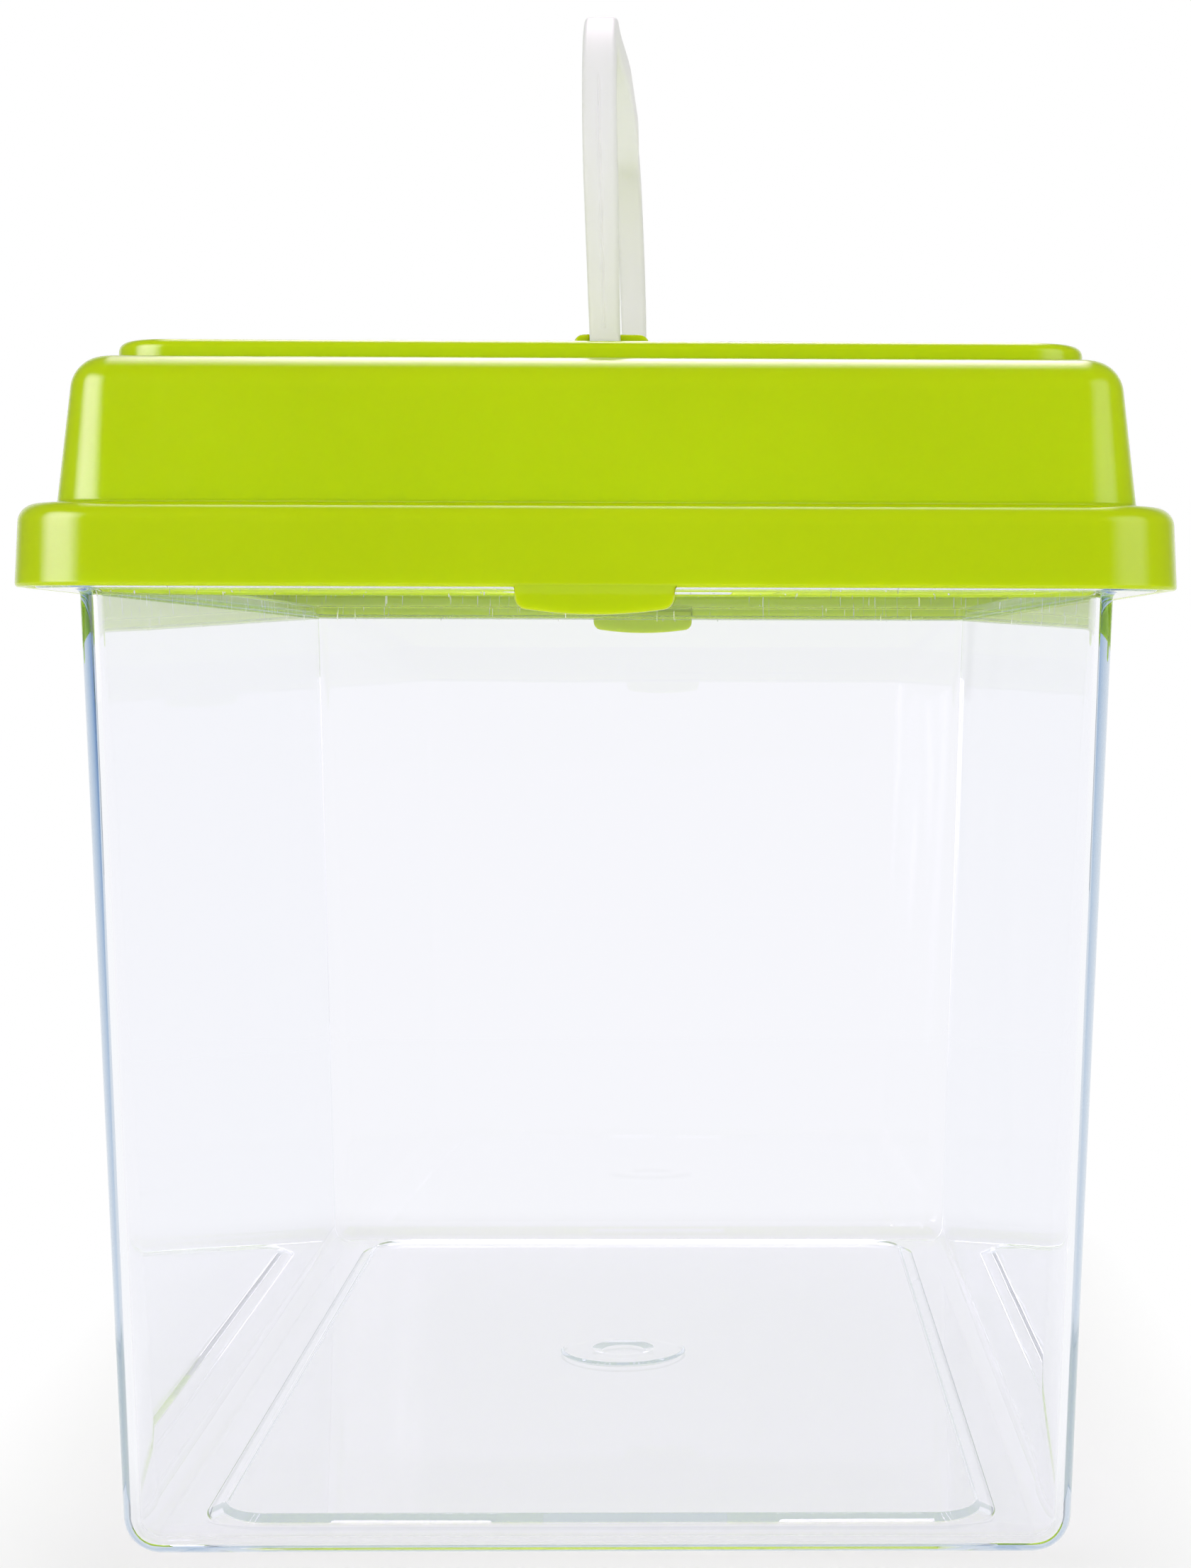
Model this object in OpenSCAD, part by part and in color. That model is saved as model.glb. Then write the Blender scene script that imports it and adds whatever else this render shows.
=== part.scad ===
// Small animal keeper: a clear moulded tank, a domed press-down lid with vents,
// a clear feeding hatch hinged in the lid, and a carry handle that folds flat.
// Frame: +X across the short side, +Y along the long side, +Z up.
// The origin is under the middle of the tank, on the surface it stands on.

/* [Tank] */
// Height of the tank alone, from the table to its top edge
tank_h = 138.7; // [110:0.1:170]
// Thickness of the tank walls
wall = 2; // [1.2:0.1:2.4]
// Thickness of the tank floor
floor_t = 2; // [1.4:0.1:3]
// Inward lean of each wall from the collar down to the floor
wall_draft = 5.6; // [2:0.1:8]
// Plan radius of the tank's upright corners
tank_corner_r = 6; // [5.5:0.5:12]
// Radius where the walls turn into the floor
tank_bottom_r = 5; // [3.5:0.1:6]
// Height of the wider collar that the lid sits over
collar_h = 9.4; // [6:0.1:11]
// How far the collar stands out from the wall below it
collar_step = 4.7; // [4:0.1:7]

/* [Tank floor] */
// Width of the flat band that the tank stands on
foot_band = 9; // [7:0.5:14]
// Rise of the middle panel above the band
panel_rise = 1.2; // [0.6:0.1:2]
// Width of the sloped step around the panel
panel_slope = 2.6; // [1.5:0.1:4]
// Plan radius of the panel's corners
panel_corner_r = 9; // [6:0.5:14]
// Radius of the round moulding gate pad in the middle
gate_r = 10.5; // [8:0.5:14]
// Radius of the dimple in the gate pad
gate_dimple_r = 5.2; // [3:0.1:6.5]
// Height of the gate pad and depth of its dimple
gate_t = 0.4; // [0.3:0.1:0.8]

/* [Lid rim] */
// Overall width across the short side
lid_w = 153; // [142:1:180]
// Overall length along the long side
lid_l = 232; // [216:1:280]
// Height of the rim band
rim_h = 10.9; // [9.5:0.1:14]
// Inward lean of each rim face
rim_draft = 0.5; // [0.3:0.1:1]
// Plan radius of the rim's corners
rim_corner_r = 12; // [11:0.5:18]
// Rounding of the rim's top edge
rim_fillet = 2.5; // [1.8:0.1:3.5]
// Thickness of the lid's skin
lid_wall = 1.6; // [1.4:0.1:2]
// Running gap between the lid's rim and the tank's collar
rim_clear = 0.35; // [0.3:0.05:0.6]
// Gap under the lid where it rests on the tank's top edge
seat_gap = 0.05; // [0.05:0.05:0.15]

/* [Lid dome] */
// Ledge on the rim, outside the foot of the dome
dome_inset = 5.1; // [3.5:0.1:6]
// Plan radius of the dome's corners
dome_corner_r = 8; // [7.5:0.5:14]
// Height of the dome above the rim
dome_h = 19.6; // [14:0.1:30]
// Inward lean of each dome face
dome_draft = 2.6; // [0.8:0.1:3.8]
// Rounding of the dome's top edge
dome_fillet = 4.6; // [3:0.1:5]
// Height of the raised top panel
plateau_h = 2.8; // [1.8:0.1:3.5]
// Step in from the dome's top to the top panel, at each long side
plateau_inset_x = 3.7; // [3:0.1:8]
// Step in from the dome's top to the top panel, at each end
plateau_inset_y = 8; // [6:0.1:12]
// Plan radius of the top panel's corners
plateau_corner_r = 8; // [6:0.5:14]
// Rounding of the top panel's edge
plateau_fillet = 1.3; // [1:0.1:1.7]

/* [Lift tabs] */
// Width of the lift tab at each end of the rim
tab_w = 20.5; // [16:0.5:30]
// How far the tab hangs below the rim in the middle
tab_drop = 3.5; // [3:0.1:6]
// How much less it hangs at its two corners
tab_sag = 0.9; // [0.5:0.1:1.5]
// Thickness of the tab
tab_t = 2; // [1.6:0.1:3]
// How far the tab runs up the rim's face
tab_lap = 1; // [0.6:0.1:2]

/* [Vents] */
// Width of one vent slot
vent_w = 2; // [1.5:0.1:2.5]
// Distance from one slot to the next
vent_pitch = 6; // [5:0.5:10]
// Plain strip between the hatch and the slots
vent_gap = 8; // [6:0.5:10]
// Plain strip between the slots and the top panel's edge
vent_edge = 6.5; // [5:0.5:9]
// Clear run kept between the slots and the handle's bosses
vent_end = 5; // [4:0.5:12]

/* [Feeding hatch] */
// Length of the hatch along the lid
hatch_l = 100; // [70:1:108]
// Width of the hatch, from its hinge line to its free edge
hatch_w = 42; // [34:1:44]
// Thickness of the hatch
hatch_t = 2; // [1.6:0.1:2.4]
// Plan radius of the hatch's free corners
hatch_corner_r = 4; // [2:0.5:8]
// Gap around the hatch in its recess
hatch_gap = 0.4; // [0.3:0.05:0.6]
// Width of the ledge that the hatch lies on
hatch_ledge = 3; // [2:0.5:4]
// Thickness of the ledge
hatch_ledge_t = 2; // [1.5:0.1:3]
// Width of the thick frame outside the hatch and its ears
hatch_border = 4; // [3:0.5:6]
// Radius of the rolled hinge barrel
barrel_r = 1.7; // [1.5:0.1:1.8]
// Height of the hinge line above the top panel
hatch_axis_rise = 0.4; // [0.3:0.1:0.6]
// Radius of the hatch's hinge pins
hatch_pin_r = 1; // [0.8:0.05:1.1]
// Length of each hinge pin
hatch_pin_l = 3; // [2:0.1:4]
// Radius of the round ears that hold the pins
ear_r = 2.3; // [2.1:0.1:2.6]
// Reach of the finger lip beyond the free edge
lip_reach = 3; // [2:0.1:4]
// Length of the finger lip
lip_l = 18; // [12:1:26]
// Thickness of the finger lip
lip_t = 1.5; // [1.2:0.1:2]

/* [Handle] */
// Length over the outer faces of the two arms
handle_span = 158; // [152:1:170]
// Height from the pivots to the top of the grip
handle_h = 51.1; // [49:0.1:64]
// Outer radius of the two bends
bend_r = 27; // [20:1:34]
// Thickness of the arms, seen from the side
arm_t = 5.3; // [4.5:0.1:7]
// Thickness of the grip, seen from the side
grip_t = 5; // [4:0.1:6]
// Width of each arm at its foot
foot_w = 4.2; // [3.6:0.1:4.4]
// Width of each arm where it meets the bend
arm_w = 4.8; // [4.5:0.1:5.4]
// Width of the grip in its middle
grip_w = 6.4; // [5.6:0.1:8]
// Lean of the raised handle against its stop, in degrees
handle_lean = 1.6; // [0.5:0.1:2.4]
// Radius of the pivot pins
pin_r = 1.1; // [0.9:0.05:1.2]
// Length of the pivot pins
pin_l = 5; // [3.5:0.1:6]
// Running gap around every hinge pin
pin_clear = 0.05; // [0.04:0.01:0.08]
// Room left in each bore past the end of its pin
bore_end = 0.4; // [0.3:0.05:0.6]
// Gap between an arm and the boss beside it
arm_gap = 0.3; // [0.25:0.05:0.5]
// Width of the moulding groove down each arm
groove_w = 0.9; // [0.6:0.1:1.2]
// Depth of the moulding groove
groove_t = 0.4; // [0.3:0.1:0.6]
// Height of the groove's foot above the pivots
groove_from = 4; // [3:0.5:8]
// Height of the groove's upper end, in the bend
groove_to = 38; // [20:1:45]
// Reach of the heel that stops the raised handle
heel_reach = 2.4; // [2:0.1:3.5]
// Thickness of the heel
heel_t = 1.4; // [1.2:0.1:1.6]
// Gap under the heel
heel_gap = 0.1; // [0.05:0.05:0.2]

/* [Pivot bosses] */
// Width of each boss across the lid
boss_w = 10.6; // [9:0.1:14]
// Thickness of each boss along the lid
boss_t = 7; // [6.6:0.1:9]
// Height of each boss above the top panel
boss_h = 3.9; // [3.7:0.1:5]
// Rounding of the boss's upper edges
boss_round = 1.5; // [1:0.1:1.8]
// Height of the pivot line above the top panel
pivot_rise = 2; // [1.9:0.1:2.2]
// Depth of the shallow trough that an arm folds into
trough_d = 0.7; // [0.5:0.1:0.9]
// Length of the trough on the folding side
trough_l = 22; // [15:1:30]
// Side gap between the trough and an arm
trough_gap = 0.5; // [0.3:0.1:0.8]

/* [Hidden] */
$fn = 48;
// Overlaps that keep joins and cuts clean
eps = 0.02;
skim = 0.5;

// Heights, from the table up
seat_z = tank_h + seat_gap;
rim_top_z = seat_z + lid_wall;
rim_bottom_z = rim_top_z - rim_h;
dome_top_z = rim_top_z + dome_h;
top_z = dome_top_z + plateau_h;
ledge_z = tank_h - collar_h;

// Plan sizes [across X, along Y] from the lid's rim inwards
rim_foot = [lid_w, lid_l];
rim_inner = rim_foot - 2 * lid_wall * [1, 1];
rim_inner_r = rim_corner_r - lid_wall;
dome_foot = rim_foot - 2 * dome_inset * [1, 1];
dome_inner = dome_foot - 2 * lid_wall * [1, 1];
plateau = dome_foot - 2 * (dome_draft * [1, 1] + [plateau_inset_x, plateau_inset_y]);
plateau_inner = plateau - 2 * lid_wall * [1, 1];

// Plan sizes of the tank, inside the rim
collar = rim_inner - 2 * (rim_draft + rim_clear) * [1, 1];
collar_r = rim_inner_r - rim_clear;
collar_inner = collar - 2 * wall * [1, 1];
wall_foot = collar - 2 * (collar_step + wall_draft) * [1, 1];
inner_foot = wall_foot - 2 * wall * [1, 1];
panel_foot = wall_foot - 2 * foot_band * [1, 1];

// Places of the pivots and of the hatch's hinge line
arm_outer_y = handle_span / 2;
arm_inner_y = arm_outer_y - arm_t;
boss_outer_y = arm_inner_y - arm_gap;
boss_inner_y = boss_outer_y - boss_t;
pivot_z = top_z + pivot_rise;
hinge_x = -hatch_w / 2;
hinge_z = top_z + hatch_axis_rise;
ear_t = hatch_pin_l + 1;
ear_inner_y = hatch_l / 2 + hatch_gap;
ear_outer_y = ear_inner_y + ear_t;

// A flat rounded rectangle, [across, along] with corner radius r
module plan(size, r)
{
    square([size[0] - 2 * r, size[1]], center = true);
    square([size[0], size[1] - 2 * r], center = true);
    for (sx = [-1, 1], sy = [-1, 1])
        translate([sx * (size[0] / 2 - r), sy * (size[1] / 2 - r)])
            circle(r = r);
}

// Side view of one drafted edge, from the axis of a corner out to the skin: foot_r
// wide at z0, drawn in by draft at z1, with a fillet at the bottom or the top
module edge_profile(foot_r, z0, z1, draft, fillet0, fillet1)
{
    slope = draft / (z1 - z0);
    reach = sqrt(1 + slope * slope);
    low = [foot_r - slope * fillet0 - fillet0 * reach, z0 + fillet0];
    high = [foot_r - slope * (z1 - fillet1 - z0) - fillet1 * reach, z1 - fillet1];
    out = [1, slope] / reach;
    intersection()
    {
        union()
        {
            polygon(concat([[0, z0]],
                           fillet0 > 0 ? [[low[0], z0], low, low + fillet0 * out] : [low],
                           fillet1 > 0 ? [high + fillet1 * out, high, [high[0], z1]] : [high],
                           [[0, z1]]));
            if (fillet0 > 0)
                translate(low)
                    circle(r = fillet0);
            if (fillet1 > 0)
                translate(high)
                    circle(r = fillet1);
        }
        translate([0, z0])
            square([foot_r + abs(draft), z1 - z0]);
    }
}

// A drafted block with rounded corners, size [across, along] at its foot z0: a plain
// core with a straight edge along each side and a quarter turn at each corner
module drafted_block(size, r, z0, z1, draft, fillet0, fillet1)
{
    core = size - 2 * r * [1, 1];
    translate([-core[0] / 2, -core[1] / 2, z0])
        cube([core[0], core[1], z1 - z0]);
    for (turn = [0:3])
    {
        out = core[turn % 2] / 2;
        run = core[(turn + 1) % 2];
        rotate([0, 0, 90 * turn])
        {
            translate([out, run / 2, 0])
                rotate([90, 0, 0])
                    linear_extrude(height = run)
                        edge_profile(r, z0, z1, draft, fillet0, fillet1);
            translate([out, run / 2, 0])
                rotate_extrude(angle = 90)
                    edge_profile(r, z0, z1, draft, fillet0, fillet1);
        }
    }
}

// A round bar along Y, centred on [x, z], from y0 to y1
module bar_y(x, z, y0, y1, r)
{
    translate([x, y0, z])
        rotate([-90, 0, 0])
            cylinder(r = r, h = y1 - y0);
}

// A block from one corner to the opposite one
module block(lo, hi)
{
    translate(lo)
        cube(hi - lo);
}

// Places the children once at each end of the keeper
module both_ends()
{
    for (side = [0, 1])
        mirror([0, side, 0])
            children();
}

// ---------------------------------------------------------------- tank

module tank_skin()
{
    difference()
    {
        union()
        {
            drafted_block(wall_foot, tank_corner_r, 0, ledge_z + wall, -wall_draft, tank_bottom_r, 0);
            translate([0, 0, ledge_z])
                linear_extrude(height = collar_h)
                    plan(collar, collar_r);
        }
        drafted_block(inner_foot, tank_corner_r - wall, floor_t, ledge_z + wall + skim, -wall_draft,
                      tank_bottom_r - wall, 0);
        translate([0, 0, ledge_z + wall])
            linear_extrude(height = collar_h)
                plan(collar_inner, collar_r - wall);
    }
}

// The raised middle of the floor; lift sets how high it sits
module floor_panel(lift)
{
    translate([0, 0, lift])
        drafted_block(panel_foot, panel_corner_r, 0, panel_rise, panel_slope, 0, 0);
}

module tank()
{
    color([0.86, 0.93, 0.96, 0.35])
        difference()
        {
            union()
            {
                tank_skin();
                floor_panel(floor_t - eps);
                cylinder(r = gate_r, h = floor_t + panel_rise + gate_t);
            }
            floor_panel(-eps);
            translate([0, 0, floor_t + panel_rise])
                cylinder(r = gate_dimple_r, h = gate_t + skim);
        }
}

// ---------------------------------------------------------------- lid

module lid_skin()
{
    difference()
    {
        union()
        {
            drafted_block(rim_foot, rim_corner_r, rim_bottom_z, rim_top_z, rim_draft, 0, rim_fillet);
            drafted_block(dome_foot, dome_corner_r, rim_top_z - rim_fillet, dome_top_z, dome_draft,
                          0, dome_fillet);
            drafted_block(plateau, plateau_corner_r, dome_top_z - dome_fillet, top_z, 0,
                          0, plateau_fillet);
        }
        drafted_block(rim_inner, rim_inner_r, rim_bottom_z - skim, seat_z, rim_draft, 0, 0);
        drafted_block(dome_inner, dome_corner_r - lid_wall, seat_z - skim, dome_top_z - lid_wall,
                      dome_draft, 0, dome_fillet - lid_wall);
        translate([0, 0, dome_top_z - lid_wall - skim])
            linear_extrude(height = plateau_h + skim)
                plan(plateau_inner, plateau_corner_r - lid_wall);
    }
}

// A lift tab at the near end, with its lower edge bowed down
module lift_tab()
{
    bow_r = (pow(tab_w / 2, 2) + pow(tab_sag, 2)) / (2 * tab_sag);
    translate([0, -lid_l / 2 + tab_t, 0])
        rotate([90, 0, 0])
            linear_extrude(height = tab_t)
                intersection()
                {
                    translate([-tab_w / 2, rim_bottom_z - tab_drop])
                        square([tab_w, tab_drop + tab_lap]);
                    translate([0, rim_bottom_z - tab_drop + bow_r])
                        circle(r = bow_r, $fn = 180);
                }
}

// The boss at the near end that carries one handle pin
module pivot_boss()
{
    translate([0, -boss_inner_y, 0])
        rotate([90, 0, 0])
            linear_extrude(height = boss_t)
            {
                translate([-boss_w / 2, top_z - skim])
                    square([boss_w, boss_h + skim - boss_round]);
                translate([-boss_w / 2 + boss_round, top_z - skim])
                    square([boss_w - 2 * boss_round, boss_h + skim]);
                for (side = [-1, 1])
                    translate([side * (boss_w / 2 - boss_round), top_z + boss_h - boss_round])
                        circle(r = boss_round);
            }
}

module pivot_bore()
{
    bar_y(0, pivot_z, -boss_outer_y - skim, -boss_outer_y + pin_l + bore_end, pin_r + pin_clear);
}

// The shallow trough beside a boss that takes the arm's foot and the folded arm
module arm_trough()
{
    block([-foot_w / 2 - trough_gap, -arm_outer_y - trough_gap, top_z - trough_d],
          [trough_l, -arm_inner_y + trough_gap, top_z + skim]);
}

// The thick frame under the top panel that the hatch's recess is cut into
module hatch_frame()
{
    block([hinge_x - ear_r - hatch_border, -ear_outer_y - hatch_border,
           top_z - hatch_t - hatch_ledge_t],
          [hatch_w / 2 + hatch_border, ear_outer_y + hatch_border, top_z - skim]);
}

// The doorway and the recess around it
module hatch_recess()
{
    block([hinge_x - barrel_r - hatch_gap, -hatch_l / 2 - hatch_gap, top_z - hatch_t - seat_gap],
          [hatch_w / 2 + hatch_gap, hatch_l / 2 + hatch_gap, top_z + skim]);
    translate([0, 0, top_z - hatch_t - hatch_ledge_t - skim])
        linear_extrude(height = hatch_t + hatch_ledge_t)
            plan([hatch_w - 2 * hatch_ledge, hatch_l - 2 * hatch_ledge], hatch_corner_r);
}

// One round ear for a hatch pin, at the near end
module hinge_ear()
{
    bar_y(hinge_x, hinge_z, -ear_outer_y, -ear_inner_y, ear_r);
    block([hinge_x - ear_r, -ear_outer_y, top_z - skim], [hinge_x + ear_r, -ear_inner_y, hinge_z]);
}

module hinge_bore()
{
    bar_y(hinge_x, hinge_z, -ear_inner_y - hatch_pin_l - bore_end, -ear_inner_y + skim,
          hatch_pin_r + pin_clear);
}

// Rows of vent slots along both long sides of the top panel
module vents()
{
    x0 = hatch_w / 2 + vent_gap;
    x1 = plateau[0] / 2 - vent_edge;
    steps = floor((boss_inner_y - vent_end) / vent_pitch);
    for (side = [0, 1], i = [-steps:steps])
        mirror([side, 0, 0])
            translate([0, i * vent_pitch, dome_top_z - lid_wall - skim])
                linear_extrude(height = plateau_h + lid_wall + 2 * skim)
                {
                    translate([x0, -vent_w / 2])
                        square([x1 - x0, vent_w]);
                    for (x = [x0, x1])
                        translate([x, 0])
                            circle(d = vent_w, $fn = 24);
                }
}

module lid()
{
    color([0.70, 0.80, 0.05])
        difference()
        {
            union()
            {
                lid_skin();
                both_ends()
                {
                    lift_tab();
                    pivot_boss();
                    hinge_ear();
                }
                hatch_frame();
            }
            both_ends()
            {
                pivot_bore();
                arm_trough();
                hinge_bore();
            }
            hatch_recess();
            vents();
        }
}

// ---------------------------------------------------------------- feeding hatch

module feeding_hatch()
{
    plate_z = top_z - hatch_t;
    color([0.86, 0.93, 0.96, 0.35])
    {
        translate([0, 0, plate_z])
            linear_extrude(height = hatch_t)
            {
                plan([hatch_w, hatch_l], hatch_corner_r);
                translate([hinge_x, -hatch_l / 2])
                    square([hatch_w / 2, hatch_l]);
            }
        bar_y(hinge_x, hinge_z, -hatch_l / 2, hatch_l / 2, barrel_r);
        bar_y(hinge_x, hinge_z, -ear_inner_y - hatch_pin_l, ear_inner_y + hatch_pin_l, hatch_pin_r);
        block([hatch_w / 2 - 2 * lip_reach, -lip_l / 2, top_z - skim],
              [hatch_w / 2, lip_l / 2, top_z + hatch_gap + lip_t]);
        block([hatch_w / 2 - eps, -lip_l / 2, top_z + hatch_gap],
              [hatch_w / 2 + lip_reach, lip_l / 2, top_z + hatch_gap + lip_t]);
    }
}

// ---------------------------------------------------------------- carry handle

// A filled arch across the given span, seen along X, with both shoulders rounded
module arch(span, height, r, width)
{
    rotate([90, 0, 90])
        translate([0, 0, -width / 2])
            linear_extrude(height = width)
            {
                translate([-span / 2, 0])
                    square([span, height - r]);
                translate([-span / 2 + r, 0])
                    square([span - 2 * r, height]);
                for (side = [0, 1])
                    mirror([side, 0])
                        translate([span / 2 - r, height - r])
                            intersection()
                            {
                                circle(r = r, $fn = 96);
                                square(r);
                            }
            }
}

// The bow of the handle, with the pivot line at height 0
module bow(width)
{
    difference()
    {
        arch(handle_span, handle_h, bend_r, width);
        translate([0, 0, -skim])
            arch(handle_span - 2 * arm_t, handle_h - grip_t + skim, bend_r - (arm_t + grip_t) / 2,
                 width + skim);
    }
}

// End view of the arms, which widen from the foot to the bend
module arm_taper()
{
    bend_z = handle_h - bend_r;
    rotate([90, 0, 0])
        translate([0, 0, -handle_span])
            linear_extrude(height = 2 * handle_span)
                polygon([[-foot_w / 2, 0], [foot_w / 2, 0], [arm_w / 2, bend_z],
                         [arm_w / 2, handle_h + skim], [-arm_w / 2, handle_h + skim],
                         [-arm_w / 2, bend_z]]);
}

// Top view of the grip, which is widest along its middle third
module grip_taper()
{
    grip_end = handle_span / 2 - bend_r;
    widest = grip_end / 3;
    translate([0, 0, handle_h - grip_t - skim])
        linear_extrude(height = grip_t + 2 * skim)
            polygon([[-arm_w / 2, -grip_end], [arm_w / 2, -grip_end], [grip_w / 2, -widest],
                     [grip_w / 2, widest], [arm_w / 2, grip_end], [-arm_w / 2, grip_end],
                     [-grip_w / 2, widest], [-grip_w / 2, -widest]]);
}

// The groove that follows the outside of the arm at the near end
module arm_groove()
{
    difference()
    {
        block([-groove_w / 2, -arm_outer_y - skim, groove_from],
              [groove_w / 2, -arm_outer_y + bend_r, groove_to]);
        arch(handle_span - 2 * groove_t, handle_h - groove_t, bend_r - groove_t, groove_w + skim);
    }
}

module carry_handle()
{
    heel_z = heel_gap - pivot_rise;
    color([0.93, 0.94, 0.93])
        translate([0, 0, pivot_z])
        {
            rotate([0, -handle_lean, 0])
                difference()
                {
                    union()
                    {
                        intersection()
                        {
                            bow(arm_w + skim);
                            arm_taper();
                        }
                        intersection()
                        {
                            bow(grip_w + skim);
                            grip_taper();
                        }
                        both_ends()
                            bar_y(0, 0, -arm_outer_y, -arm_inner_y, foot_w / 2);
                    }
                    both_ends()
                        arm_groove();
                }
            both_ends()
            {
                bar_y(0, 0, -arm_inner_y - skim, -boss_outer_y + pin_l, pin_r);
                block([-foot_w / 2 - heel_reach, -arm_outer_y, heel_z],
                      [0, -arm_inner_y, heel_z + heel_t]);
            }
        }
}

tank();
lid();
feeding_hatch();
carry_handle();
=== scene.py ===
"""Dresses the pet keeper: a clear moulded tank, a lime lid, a clear feeding hatch and a white
carry handle, set on a pale studio floor. Sizes of the keeper and of the camera are in
millimetres, those of the lamps and the floor are in metres, and angles are in degrees."""

import logging
import math
from dataclasses import dataclass, replace
from enum import Enum
from typing import Callable, Sequence

import bmesh
import bpy
from mathutils import Matrix, Vector

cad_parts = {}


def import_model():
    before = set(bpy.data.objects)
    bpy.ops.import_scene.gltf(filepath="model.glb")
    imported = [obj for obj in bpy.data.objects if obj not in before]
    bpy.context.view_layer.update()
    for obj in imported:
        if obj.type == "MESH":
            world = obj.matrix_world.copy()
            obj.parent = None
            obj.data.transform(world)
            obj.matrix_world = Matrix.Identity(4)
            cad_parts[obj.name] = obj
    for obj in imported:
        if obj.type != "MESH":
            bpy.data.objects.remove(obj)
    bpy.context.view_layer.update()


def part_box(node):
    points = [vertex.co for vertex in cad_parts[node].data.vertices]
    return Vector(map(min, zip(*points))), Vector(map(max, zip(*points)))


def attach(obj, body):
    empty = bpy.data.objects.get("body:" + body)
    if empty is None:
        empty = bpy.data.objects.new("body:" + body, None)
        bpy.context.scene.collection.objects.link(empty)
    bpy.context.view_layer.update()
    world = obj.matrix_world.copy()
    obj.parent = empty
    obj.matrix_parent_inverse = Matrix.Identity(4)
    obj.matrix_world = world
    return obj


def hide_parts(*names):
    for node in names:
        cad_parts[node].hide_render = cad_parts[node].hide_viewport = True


Pair = tuple[float, float]
Triple = tuple[float, float, float]
Colour = tuple[float, float, float, float]
Socket = bpy.types.NodeSocket

LOG = logging.getLogger("keeper")
MM = 0.001

# Smallest corner radius of a ring that is drawn in, in millimetres.
LEAST_RADIUS = 0.01
# Points closer than this are one point, and edges shorter than this are dropped, in millimetres.
WELD = 1e-4
THIN = 1e-5
# The same for a mesh that is already in metres.
BAKED_WELD = 5e-6
# Faces that turn by less than the first angle are one, and edges that turn by more than the
# second are rounded, in degrees.
FLAT_ANGLE = 0.4
SHARP_ANGLE = 35.0


class Body(Enum):
    """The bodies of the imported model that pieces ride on."""

    TANK = "tank"
    LID = "lid"
    HATCH = "hatch"
    HANDLE = "handle"


class Slot(Enum):
    """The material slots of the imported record."""

    CLEAR = "clear_plastic"
    LIME = "lime_plastic"
    WHITE = "white_plastic"


class BooleanKind(Enum):
    """How a second mesh changes the first."""

    ADD = "UNION"
    CUT = "DIFFERENCE"


# ------------------------------------------------------------------ shapes


@dataclass(frozen=True)
class Ring:
    """A level rounded rectangle that a skin passes through.

    Attributes:
        half_x: half its width, across the keeper.
        half_y: half its length, along the keeper.
        radius: its corner radius.
        z: its height above the table.
        fillet: radius that rounds the skin where it turns at this ring.
        steps: facets in that rounding.
    """

    half_x: float
    half_y: float
    radius: float
    z: float
    fillet: float = 0.0
    steps: int = 4

    def moved(self, out: float, rise: float) -> "Ring":
        """Returns a plain ring this far further out and up.

        Args:
            out: growth of the half sizes and of the corner radius.
            rise: change of height.

        Returns:
            The new ring, with no fillet of its own.
        """
        radius = max(self.radius + out, LEAST_RADIUS)
        return Ring(self.half_x + out, self.half_y + out, radius, self.z + rise)


def rounded(rings: Sequence[Ring]) -> list[Ring]:
    """Replaces each ring that has a fillet by the rings of an arc.

    Args:
        rings: the corners of a section, in order.

    Returns:
        Plain rings, with each filleted corner as a true arc in the section.
    """
    made: list[Ring] = []
    for i, ring in enumerate(rings):
        if ring.fillet <= 0 or i in (0, len(rings) - 1):
            made.append(replace(ring, fillet=0.0))
            continue
        here = Vector((ring.half_x, ring.z))
        to_last = (Vector((rings[i - 1].half_x, rings[i - 1].z)) - here).normalized()
        to_next = (Vector((rings[i + 1].half_x, rings[i + 1].z)) - here).normalized()
        half = to_last.angle(to_next) / 2
        reach = ring.fillet / math.tan(half)
        centre = here + (to_last + to_next).normalized() * (ring.fillet / math.sin(half))
        start = here + to_last * reach - centre
        end = here + to_next * reach - centre
        first = math.atan2(start.y, start.x)
        sweep = math.remainder(math.atan2(end.y, end.x) - first, 2 * math.pi)
        for k in range(ring.steps + 1):
            angle = first + sweep * k / ring.steps
            point = centre + Vector((math.cos(angle), math.sin(angle))) * ring.fillet
            made.append(ring.moved(point.x - ring.half_x, point.y - ring.z))
    return made


def ring_points(ring: Ring, turns: int) -> list[Vector]:
    """Lists the points of one ring, anticlockwise from above.

    Args:
        ring: the ring.
        turns: facets in each of its four corners.

    Returns:
        Its points, in millimetres.
    """
    points = []
    for corner in range(4):
        sign_x = 1 if corner in (0, 3) else -1
        sign_y = 1 if corner in (0, 1) else -1
        centre_x = sign_x * (ring.half_x - ring.radius)
        centre_y = sign_y * (ring.half_y - ring.radius)
        for k in range(turns + 1):
            angle = math.radians(90 * (corner + k / turns))
            x = centre_x + ring.radius * math.cos(angle)
            y = centre_y + ring.radius * math.sin(angle)
            points.append(Vector((x, y, ring.z)))
    return points


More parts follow.
